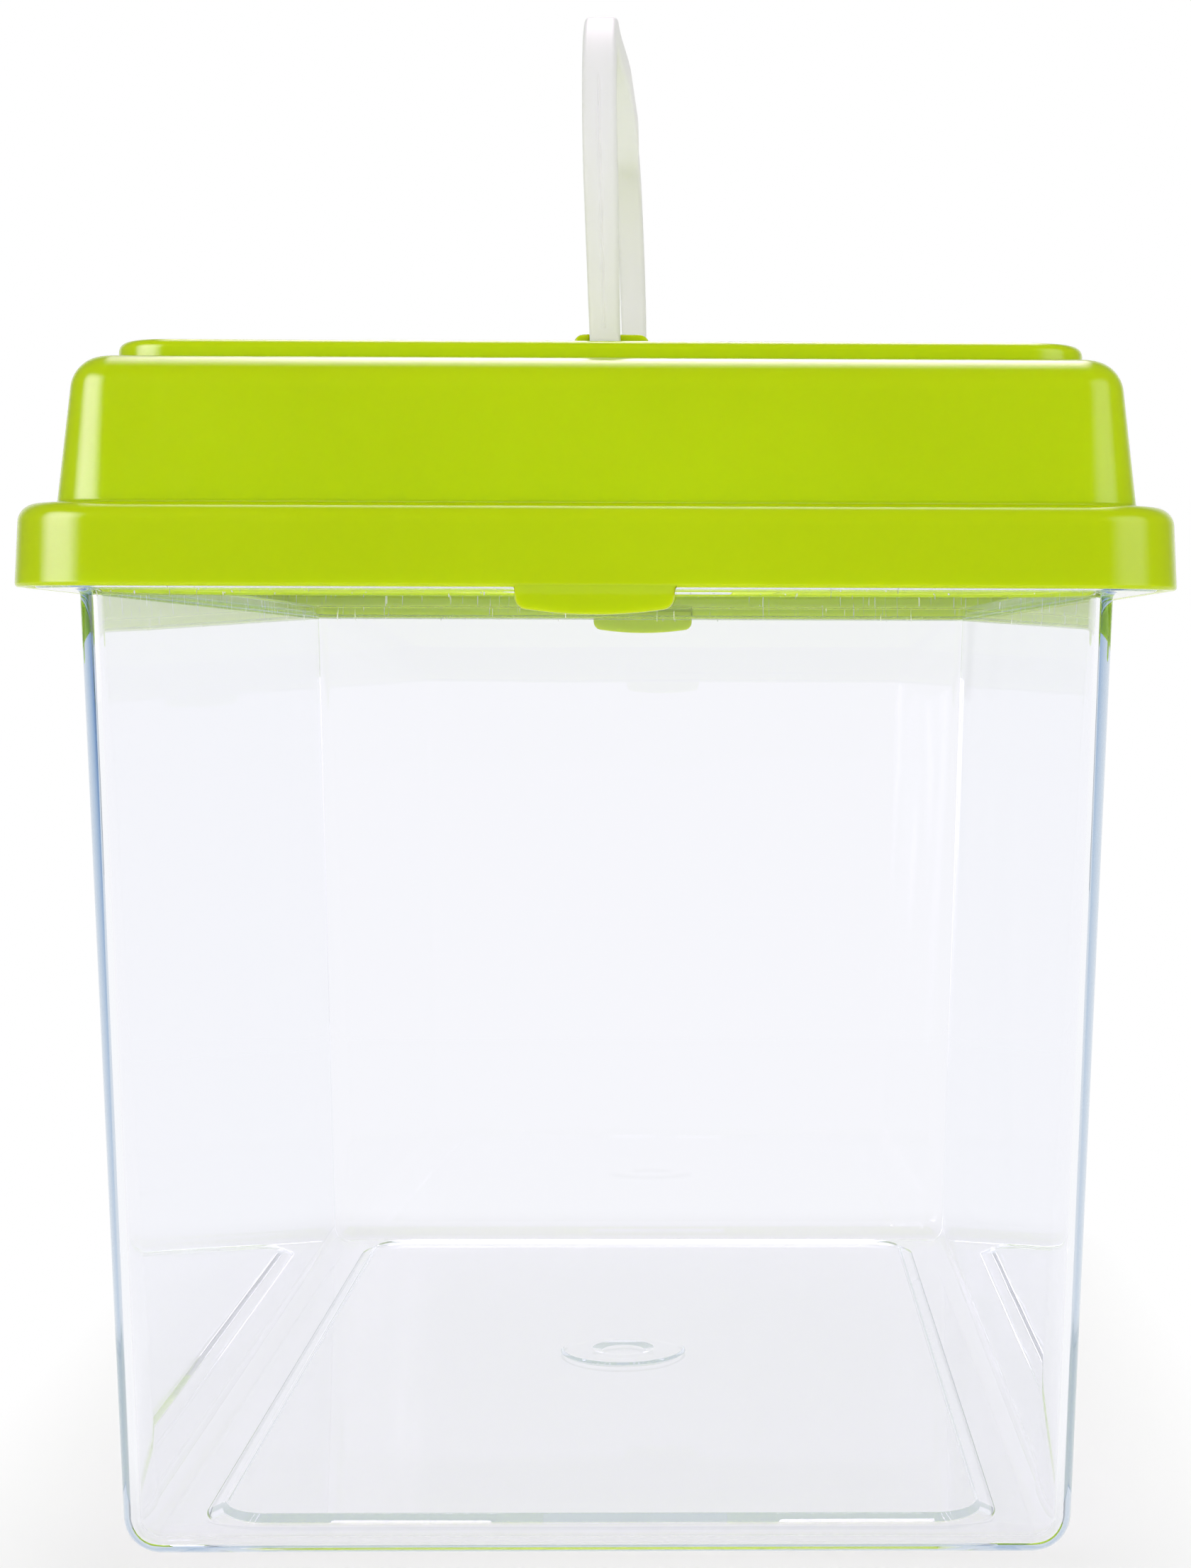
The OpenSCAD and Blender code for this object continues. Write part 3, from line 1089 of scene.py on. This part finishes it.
        tab += arc((0, low + bow), bow, -90 - spread, -90 + spread, self.tab_steps)[1:-1]
        tab += arc((corner_x, corner_z), self.tab_round, -90, 0, self.tab_corner_steps)
        lap = self.rim_top - self.rim_height + self.tab_lap
        tab += [(self.tab_width / 2, lap), (-self.tab_width / 2, lap)]
        start = self.hatch_length / 2 + self.hatch_gap
        for sign in (-1, 1):
            solid.prism(ear, sign * start, sign * (start + self.ear_length), lengthwise)
            solid.prism(boss, sign * (self.boss_outer - self.boss), sign * self.boss_outer,
                        lengthwise)
            solid.prism(tab, sign * (self.half_y - self.tab), sign * (self.half_y - self.tab_flush),
                        lengthwise)
        return solid.finished()

    def vents(self, solid: Solid) -> None:
        """Adds the cutters of the vent slots.

        Args:
            solid: the mesh of cutters.
        """
        near = self.hatch_width / 2 + self.vent_gap
        far = self.plateau(0, 0).half_x - self.vent_edge
        r = self.vent / 2
        slot = arc((far, 0), r, -90, 90, self.slot_steps)
        slot += arc((near, 0), r, 90, 270, self.slot_steps)
        count = math.floor((self.boss_outer - self.boss - self.vent_end) / self.vent_pitch)
        for i in range(-count, count + 1):
            for sign in (-1, 1):
                outline = [(sign * x, y + i * self.vent_pitch) for x, y in slot]
                solid.prism(outline, self.dome_top - self.cut_below, self.top + self.vent_over,
                            upright)

    def openings(self) -> bpy.types.Object:
        """Builds what is cut away: recess, doorway, vents, troughs and bores.

        Returns:
            One mesh of them all.
        """
        solid = Solid("lid_openings")
        hinge_x, hinge_z = self.hinge
        half_l = self.hatch_length / 2 + self.hatch_gap
        free = self.hatch_width / 2 + self.hatch_gap
        r = self.hatch_corner + self.hatch_gap
        left = hinge_x - self.barrel - self.hatch_gap
        recess = [(left, half_l), (left, -half_l)]
        recess += arc((free - r, r - half_l), r, -90, 0, self.corner_steps)
        recess += arc((free - r, half_l - r), r, 0, 90, self.corner_steps)
        solid.prism(recess, self.top - self.hatch - self.recess_gap, self.top + self.recess_over,
                    upright)
        inset = self.hatch_ledge
        door = Ring(self.hatch_width / 2 - inset, self.hatch_length / 2 - inset, self.hatch_corner, 0)
        outline = [(p.x, p.y) for p in ring_points(door, self.corner_steps)]
        solid.prism(outline, self.top - self.hatch - self.ledge - self.cut_below,
                    self.top - self.hatch + self.over, upright)
        self.vents(solid)
        bore_end = self.boss_outer - self.bore_depth
        for sign in (-1, 1):
            solid.prism(disc((0, self.top + self.pivot_rise), self.pivot_bore, self.bore_steps),
                        sign * bore_end, sign * (self.boss_outer + self.over), lengthwise)
            solid.prism(disc((hinge_x, hinge_z), self.hinge_pin, self.pin_steps),
                        sign * (half_l - self.over), sign * (half_l + self.pin_length), lengthwise)
            ends = sorted((sign * (self.arm_outer + self.trough_end),
                           sign * (self.boss_outer + self.trough_gap)))
            solid.block((-self.trough_side, ends[0], self.top - self.trough),
                        (self.trough_length, ends[1], self.top + self.trough_over))
        return solid.finished()

    def build(self, finish: LimePlastic) -> bpy.types.Object:
        """Builds and dresses the lid.

        Args:
            finish: its lime plastic.

        Returns:
            The piece.
        """
        piece = Solid("lid_moulding").skin(self.sections(), self.turns).finished()
        combine(piece, self.additions(), BooleanKind.ADD)
        combine(piece, self.openings(), BooleanKind.CUT)
        tidy(piece)
        soften(piece, self.edge, reach=self.half_y)
        dress(piece, finish.build(), Body.LID, "lid")
        return piece


# ------------------------------------------------------------------ feeding hatch


@dataclass
class FeedingHatch:
    """The clear hatch: a plate with a rolled hinge barrel, two pins and a finger lip."""

    top: float
    length: float = 100.0
    width: float = 42.0
    plate: float = 2.0
    corner: float = 4.0
    gap: float = 0.4
    edge: float = 0.25
    # The hinge barrel and its pins.
    barrel: float = 1.7
    hinge_rise: float = 0.4
    pin: float = 1.0
    pin_length: float = 3.0
    # The finger lip.
    lip_reach: float = 3.0
    lip_length: float = 18.0
    lip: float = 1.5
    lip_bow: float = 6.0
    lip_turn: float = 60.0
    lip_sink: float = 0.5
    lip_inset: float = 0.3
    # Facets.
    corner_steps: int = 10
    barrel_steps: int = 32
    pin_steps: int = 24

    def build(self, finish: ClearPlastic) -> bpy.types.Object:
        """Builds and dresses the hatch.

        Args:
            finish: its clear plastic.

        Returns:
            The piece.
        """
        half_w, half_l = self.width / 2, self.length / 2
        r = self.corner
        plate = [(-half_w, half_l), (-half_w, -half_l)]
        plate += arc((half_w - r, r - half_l), r, -90, 0, self.corner_steps)
        plate += arc((half_w - r, half_l - r), r, 0, 90, self.corner_steps)
        solid = Solid("hatch_moulding").prism(plate, self.top - self.plate, self.top, upright)
        piece = solid.finished()
        hinge = (-half_w, self.top + self.hinge_rise)
        parts = Solid("hatch_parts")
        parts.prism(disc(hinge, self.barrel, self.barrel_steps), -half_l, half_l, lengthwise)
        reach = half_l + self.gap + self.pin_length
        parts.prism(disc(hinge, self.pin, self.pin_steps), -reach, reach, lengthwise)
        combine(piece, parts.finished(), BooleanKind.ADD)
        lip_z = self.top + self.gap
        root_x = half_w - self.lip_bow
        bow = arc((root_x + self.lip_reach, 0), self.lip_bow, -self.lip_turn, self.lip_turn,
                  self.corner_steps)
        outline = [(root_x, self.lip_length / 2), (root_x, -self.lip_length / 2)]
        outline += [(x, y * self.lip_length / (2 * self.lip_bow)) for x, y in bow]
        lip = Solid("hatch_lip").prism(outline, lip_z, lip_z + self.lip, upright).finished()
        root = Solid("hatch_lip_root")
        root.block((root_x, -self.lip_length / 2, self.top - self.lip_sink),
                   (half_w - self.lip_inset, self.lip_length / 2, lip_z + self.lip_sink))
        combine(lip, root.finished(), BooleanKind.ADD)
        combine(piece, lip, BooleanKind.ADD)
        tidy(piece)
        soften(piece, self.edge)
        dress(piece, finish.build(), Body.HATCH, "feeding_hatch")
        return piece


# ------------------------------------------------------------------ carry handle


@dataclass
class CarryHandle:
    """The white handle: one bent bar with a grooved outer face, pivot pins and heels."""

    pivot_z: float
    span: float = 158.0
    height: float = 51.1
    bend: float = 27.0
    lean: float = 1.6
    bar_shift: float = -0.25
    crease: float = 38.0
    # The section of the bar and its groove.
    arm: float = 5.3
    grip: float = 5.0
    foot_width: float = 4.2
    arm_width: float = 4.8
    grip_width: float = 6.4
    round: float = 0.7
    groove: float = 0.6
    groove_depth: float = 0.35
    groove_from: float = 0.5
    groove_to: float = 38.0
    # The pivot pins and the heels.
    pin: float = 1.1
    pin_length: float = 5.3
    pin_sink: float = 1.0
    pivot_rise: float = 2.0
    heel_reach: float = 2.4
    heel: float = 1.4
    heel_gap: float = 0.1
    heel_inset: float = 0.02
    heel_front: float = 0.3
    # Stations along the bar, and facets.
    arm_stations: int = 12
    bend_stations: int = 26
    grip_stations: int = 10
    edge_steps: int = 5
    foot_steps: int = 32
    pin_steps: int = 24

    def path(self) -> list[tuple[Vector, Vector, float]]:
        """Lists the stations along the bar, from the near foot over the grip to the far foot.

        Returns:
            For each, a point on the centre line, the outward direction and the height
            along the arm, all in the plane of the bar.
        """
        mid_y = self.span / 2 - self.arm / 2
        radius = self.bend - (self.arm + self.grip) / 4
        centre = Vector((0, -(mid_y - radius), self.height - self.grip / 2 - radius))
        near: list[tuple[Vector, Vector, float]] = []
        for k in range(self.arm_stations + 1):
            z = centre.z * k / self.arm_stations
            near.append((Vector((0, -mid_y, z)), Vector((0, -1, 0)), z))
        for k in range(1, self.bend_stations + 1):
            a = math.pi / 2 * k / self.bend_stations
            out = Vector((0, -math.cos(a), math.sin(a)))
            near.append((centre + out * radius, out, centre.z + radius * math.sin(a)))
        for k in range(1, self.grip_stations):
            y = centre.y * (1 - k / self.grip_stations)
            near.append((Vector((0, y, centre.z + radius)), Vector((0, 0, 1)), self.height))
        middle = [(Vector((0, 0, centre.z + radius)), Vector((0, 0, 1)), self.height)]
        mirror = Vector((1, -1, 1))
        far = [(p * mirror, o * mirror, h) for p, o, h in reversed(near)]
        return near + middle + far

    def section(self, width: float, thick: float, groove: float) -> list[Pair]:
        """Lists the outline of the bar's cross section, as (across, outward) pairs.

        Args:
            width: its width across the keeper.
            thick: its thickness from the inner to the outer face.
            groove: depth of the groove in the outer face.

        Returns:
            The outline, always with the same number of points.
        """
        u, v, r = width / 2 - self.round, thick / 2 - self.round, self.round
        outline = [(self.groove / 2, thick / 2), (0.0, thick / 2 - groove),
                   (-self.groove / 2, thick / 2)]
        for centre, start in (((-u, v), 90), ((-u, -v), 180), ((u, -v), 270), ((u, v), 0)):
            outline += arc(centre, r, start, start + 90, self.edge_steps)
        return outline

    def width_at(self, point: Vector, height: float) -> float:
        """Finds the bar's width at a station: it widens up the arms and again into the grip.

        Args:
            point: the station's point on the centre line.
            height: its height along the arm.

        Returns:
            The width across the keeper.
        """
        bend_z = self.height - self.bend
        if height < bend_z:
            return self.foot_width + (self.arm_width - self.foot_width) * height / bend_z
        end = self.span / 2 - self.bend
        share = min(max((end - abs(point.y)) / (end * 2 / 3), 0.0), 1.0)
        share = share * share * (3 - 2 * share)
        return self.arm_width + (self.grip_width - self.arm_width) * share

    def bar(self) -> bpy.types.Object:
        """Builds the bent bar, with the pivot line at height 0.

        Returns:
            Its mesh.
        """
        rows = []
        for point, out, height in self.path():
            share = min(max(height / self.height, 0.0), 1.0)
            thick = self.arm + (self.grip - self.arm) * share
            groove = self.groove_depth if self.groove_from < height < self.groove_to else 0.0
            outline = self.section(self.width_at(point, height), thick, groove)
            rows.append([point + Vector((u, 0, 0)) + out * v for u, v in outline])
        return Solid("handle_moulding").loops(rows).finished()

    def feet(self) -> bpy.types.Object:
        """Builds the round foot of each arm, about the pivot line.

        Returns:
            One mesh of both.
        """
        solid = Solid("handle_feet")
        ring = disc((0, 0), self.foot_width / 2, self.foot_steps)
        outer = self.span / 2
        for sign in (-1, 1):
            solid.prism(ring, sign * (outer - self.arm), sign * outer, lengthwise)
        return solid.finished()

    def fittings(self) -> bpy.types.Object:
        """Builds the pivot pins and the heels, which stay level.

        Returns:
            One mesh of them all.
        """
        solid = Solid("handle_fittings")
        outer = self.span / 2
        inner = outer - self.arm
        low = self.heel_gap - self.pivot_rise
        for sign in (-1, 1):
            solid.prism(disc((0, 0), self.pin, self.pin_steps), sign * (inner - self.pin_length),
                        sign * (inner + self.pin_sink), lengthwise)
            ends = sorted((sign * (inner + self.heel_inset), sign * (outer - self.heel_inset)))
            solid.block((-self.foot_width / 2 - self.heel_reach, ends[0], low),
                        (self.heel_front, ends[1], low + self.heel))
        return solid.finished()

    def build(self, finish: WhitePlastic) -> bpy.types.Object:
        """Builds and dresses the handle.

        Args:
            finish: its white plastic.

        Returns:
            The piece.
        """
        piece = self.bar()
        combine(piece, self.feet(), BooleanKind.ADD)
        piece.data.transform(Matrix.Rotation(math.radians(-self.lean), 4, "Y"))
        piece.data.transform(Matrix.Translation((self.bar_shift * MM, 0, 0)))
        combine(piece, self.fittings(), BooleanKind.ADD)
        piece.data.transform(Matrix.Translation((0, 0, self.pivot_z * MM)))
        tidy(piece)
        soften(piece, 0.0)
        piece.data.set_sharp_from_angle(angle=math.radians(self.crease))
        piece.modifiers["shading"].keep_sharp = True
        dress(piece, finish.build(), Body.HANDLE, "carry_handle")
        return piece


# ------------------------------------------------------------------ studio


class LampUse(Enum):
    """What a lamp does: it lights surfaces, or it is the bright card that gloss mirrors."""

    LIGHT = "light"
    CARD = "card"


@dataclass(frozen=True)
class Softbox:
    """One rectangular lamp that faces the keeper.

    Attributes:
        name: its name.
        use: what it does.
        place: where its middle is, in metres.
        aim: the point that it faces, in metres.
        width: its width, in metres.
        height: its height, in metres.
        radiance: how bright it looks.
        soft_edge: share of a card over which its brightness falls off.
        tone: its colour.
    """

    name: str
    use: LampUse
    place: Triple
    aim: Triple
    width: float
    height: float
    radiance: float
    soft_edge: float = 0.3
    tone: Colour = (1.0, 0.84, 0.97, 1.0)

    def feather(self, data: bpy.types.AreaLight) -> None:
        """Lets a card's brightness fall off softly towards its edges.

        Args:
            data: the lamp.
        """
        data.use_nodes = True
        n = Nodes(data.node_tree)
        across = n.add("ShaderNodeNewGeometry").outputs["Parametric"]
        at = n.add("ShaderNodeSeparateXYZ", Vector=across)
        strength = 1.0
        for axis in ("X", "Y"):
            for share in (at.outputs[axis], n.math("SUBTRACT", 1.0, at.outputs[axis])):
                strength = n.math("MULTIPLY", strength, n.ramp(share, 0.0, self.soft_edge))
        shader = n.add("ShaderNodeEmission", Color=self.tone, Strength=strength)
        n.add("ShaderNodeOutputLight", Surface=shader.outputs[0])

    def build(self) -> bpy.types.Object:
        """Builds the lamp; its power follows from its size and its radiance.

        Returns:
            The lamp.
        """
        data = bpy.data.lights.new(self.name, "AREA")
        data.shape = "RECTANGLE"
        data.size = self.width
        data.size_y = self.height
        data.energy = self.radiance * math.pi * self.width * self.height
        if self.use is LampUse.CARD:
            self.feather(data)
        lamp = linked(self.name, data)
        lamp.location = self.place
        back = Vector(self.place) - Vector(self.aim)
        lamp.rotation_mode = "QUATERNION"
        lamp.rotation_quaternion = back.to_track_quat("Z", "Y")
        lamp.visible_camera = False
        lamp.visible_transmission = False
        lamp.visible_glossy = self.use is LampUse.CARD
        lamp.visible_diffuse = self.use is LampUse.LIGHT
        return lamp


@dataclass(frozen=True)
class View:
    """The camera, in pixels of the frame and in millimetres."""

    frame_width: int = 1680
    frame_height: int = 2211
    focal: float = 3971.8
    axis_x: float = 1076.0
    axis_y: float = 1020.0
    place: Triple = (15.94, -476.66, 119.89)
    yaw: float = 0.899
    pitch: float = -1.240
    roll: float = 0.163
    sensor: float = 36.0
    clip: Pair = (0.01, 50.0)

    def build(self) -> bpy.types.Object:
        """Builds the camera and makes it the scene's own.

        Returns:
            The camera.
        """
        data = bpy.data.cameras.new("view")
        data.sensor_fit = "VERTICAL"
        data.sensor_width = self.sensor
        data.sensor_height = self.sensor
        data.lens = self.focal / self.frame_height * self.sensor
        data.shift_x = (self.frame_width / 2 - self.axis_x) / self.frame_height
        data.shift_y = (self.axis_y - self.frame_height / 2) / self.frame_height
        data.clip_start, data.clip_end = self.clip
        yaw, pitch, roll = (math.radians(a) for a in (self.yaw, self.pitch, self.roll))
        side = Vector((math.cos(yaw), -math.sin(yaw), 0))
        ahead = Vector((math.sin(yaw), math.cos(yaw), 0))
        rise = Vector((0, 0, 1)) * math.cos(pitch) - ahead * math.sin(pitch)
        forward = ahead * math.cos(pitch) + Vector((0, 0, 1)) * math.sin(pitch)
        right = side * math.cos(roll) + rise * math.sin(roll)
        up = rise * math.cos(roll) - side * math.sin(roll)
        camera = linked("view", data)
        turn = Matrix((right, up, -forward)).transposed().to_4x4()
        camera.matrix_world = Matrix.Translation(Vector(self.place) * MM) @ turn
        bpy.context.scene.camera = camera
        return camera


@dataclass(frozen=True)
class Studio:
    """The pale floor, the white surroundings, the lamps and the camera.

    Attributes:
        ambient: strength of the light from all round.
        dim: brightness that gloss mirrors from behind the camera.
        horizon: where the surroundings turn from dim to white, along Y.
        bounces: light bounces through clear and glossy pieces.
        matt_bounces: light bounces between matt surfaces.
        paper: brightness of the floor.
        paper_light: how much lighter its grain is, in red, green and blue.
        paper_grain: scale of that grain, per metre.
        floor_half: half the floor's size, in metres.
        floor_drop: how far the floor lies under the keeper, in metres.
        table_end: where the floor turns white behind the keeper, in metres.
        near: half sizes of the part of the floor that keeps the shadow, in metres.
        fade: distances beyond it over which the floor turns pale, in metres.
        pale: how white the floor is near the keeper and far from it.
        lamps: the lamps.
    """

    ambient: float = 0.57
    dim: float = 0.2
    horizon: Pair = (0.60, 0.85)
    bounces: int = 32
    matt_bounces: int = 5
    paper: float = 0.9
    paper_light: Triple = (1.02, 1.02, 1.03)
    paper_grain: float = 900.0
    floor_half: float = 3.0
    floor_drop: float = 0.0002
    table_end: float = 0.42
    near: Pair = (0.060, 0.100)
    fade: Pair = (0.0, 0.038)
    pale: Pair = (0.61, 0.995)
    lamps: tuple[Softbox, ...] = (
        Softbox("left_softbox", LampUse.LIGHT, (-1.1, -0.23, 0.5), (0, 0, 0.2), 0.95, 0.9, 0.4),
        Softbox("right_softbox", LampUse.LIGHT, (1.1, -0.23, 0.5), (0, 0, 0.2), 0.95, 0.9, 0.4),
        Softbox("front_softbox", LampUse.LIGHT, (0, -1.5, 0.6), (0, 0, 0.1), 1.4, 1.0, 0.3),
        Softbox("low_softbox", LampUse.LIGHT, (0, -1.3, 0.055), (0, 0, 0.1), 1.5, 0.11, 10.5),
        Softbox("base_softbox", LampUse.LIGHT, (0, 0, 0.006), (0, 0, 0.14), 0.11, 0.19, 4.5),
        Softbox("left_card", LampUse.CARD, (-0.87, -0.71, 0.5), (-0.07, -0.11, 0.15), 1.2, 1.1, 12.8),
        Softbox("right_card", LampUse.CARD, (0.87, -0.69, 0.5), (0.07, -0.11, 0.15), 1.2, 1.1, 3.5),
        Softbox("top_card", LampUse.CARD, (0, 0.62, 1.15), (0, 0.62, 0), 0.9, 1.65, 8.8),
    )

    def world(self) -> None:
        """Builds the surroundings: white where seen, dim behind the camera, plain as light."""
        world = bpy.data.worlds.new("surroundings")
        world.use_nodes = True
        n = Nodes(world.node_tree)
        towards = n.add("ShaderNodeTexCoord").outputs["Generated"]
        way = n.add("ShaderNodeSeparateXYZ", Vector=towards)
        backdrop = n.ramp(way.outputs["Y"], *self.horizon, self.dim, 1.0)
        path = n.add("ShaderNodeLightPath")
        through = n.math("MAXIMUM", path.outputs["Is Camera Ray"],
                         path.outputs["Is Transmission Ray"])
        seen = n.math("MAXIMUM", backdrop, through)
        share = seen_ray(n)
        light = n.math("MULTIPLY", n.math("SUBTRACT", 1.0, share), self.ambient)
        strength = n.math("ADD", n.math("MULTIPLY", share, seen), light)
        shader = n.add("ShaderNodeBackground", Color=grey(1.0), Strength=strength)
        n.add("ShaderNodeOutputWorld", Surface=shader.outputs[0])
        bpy.context.scene.world = world

    def floor(self) -> bpy.types.Object:
        """Builds the floor, which keeps the keeper's shadow and fades to white around it.

        Returns:
            The floor.
        """
        bm = bmesh.new()
        half = self.floor_half
        corners = [(-half, -half), (half, -half), (half, half), (-half, half)]
        bm.faces.new([bm.verts.new((x, y, -self.floor_drop)) for x, y in corners])
        made = meshed("studio_floor", bm)
        material, n = new_material("studio_paper")
        at = n.add("ShaderNodeTexCoord").outputs["Object"]
        way = n.add("ShaderNodeSeparateXYZ", Vector=at)
        beyond = []
        for axis, size in zip(way.outputs, self.near):
            past = n.math("SUBTRACT", n.math("ABSOLUTE", axis), size)
            beyond.append(n.math("MAXIMUM", past, 0.0))
        away = n.math("SQRT", n.math("ADD", *(n.math("MULTIPLY", b, b) for b in beyond)))
        camera = n.add("ShaderNodeLightPath").outputs["Is Camera Ray"]
        spread = n.ramp(away, *self.fade)
        far = n.math("MAXIMUM", camera, n.math("GREATER_THAN", way.outputs["Y"], self.table_end))
        top = n.ramp(far, 0, 1, self.pale[1], 1.0)
        most = n.math("SUBTRACT", top, self.pale[0])
        share = n.math("ADD", self.pale[0], n.math("MULTIPLY", spread, most))
        share = n.math("MULTIPLY", share, seen_ray(n))
        grain = n.noise(at, self.paper_grain, 2)
        lighter = tuple(self.paper * more for more in self.paper_light)
        shade = n.blend(grain, grey(self.paper), (*lighter, 1))
        paper = n.add("ShaderNodeBsdfDiffuse", Color=shade)
        white = n.add("ShaderNodeEmission", Color=grey(1.0), Strength=1.0)
        mix = n.mixed(share, paper, white)
        n.add("ShaderNodeOutputMaterial", Surface=mix.outputs[0])
        made.data.materials.append(material)
        return made

    def build(self) -> None:
        """Builds the whole studio."""
        View().build()
        self.world()
        self.floor()
        for lamp in self.lamps:
            lamp.build()
        scene = bpy.context.scene
        scene.view_settings.view_transform = "Standard"
        scene.cycles.max_bounces = self.bounces
        scene.cycles.glossy_bounces = self.bounces
        scene.cycles.transmission_bounces = self.bounces
        scene.cycles.transparent_max_bounces = self.bounces
        scene.cycles.diffuse_bounces = self.matt_bounces


def seen_ray(n: Nodes) -> Socket:
    """Adds a value of 1 for rays by which the surroundings are seen, and 0 for lighting rays.

    Args:
        n: the node tree.

    Returns:
        The value.
    """
    path = n.add("ShaderNodeLightPath")
    seen = n.math("MAXIMUM", path.outputs["Is Camera Ray"], path.outputs["Is Glossy Ray"])
    seen = n.math("MAXIMUM", seen, path.outputs["Is Transmission Ray"])
    return n.math("MULTIPLY", seen, n.math("LESS_THAN", path.outputs["Diffuse Depth"], 0.5))


# ------------------------------------------------------------------ the keeper


def main() -> None:
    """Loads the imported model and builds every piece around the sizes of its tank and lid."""
    logging.basicConfig(level=logging.INFO, format="%(name)s: %(message)s")
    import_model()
    Studio().build()
    tank_low, tank_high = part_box("tank")
    lid_low, lid_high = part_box("lid")
    tank = Tank(tank_high.x / MM, tank_high.y / MM, tank_high.z / MM)
    tank.build(ClearPlastic("clear_tank", rubbed=tank.rubbed))
    lid = Lid(lid_high.x / MM, lid_high.y / MM)
    lid.build(LimePlastic())
    FeedingHatch(lid.top).build(ClearPlastic("clear_hatch"))
    CarryHandle(lid.top + lid.pivot_rise).build(WhitePlastic())


if __name__ == "__main__":
    main()
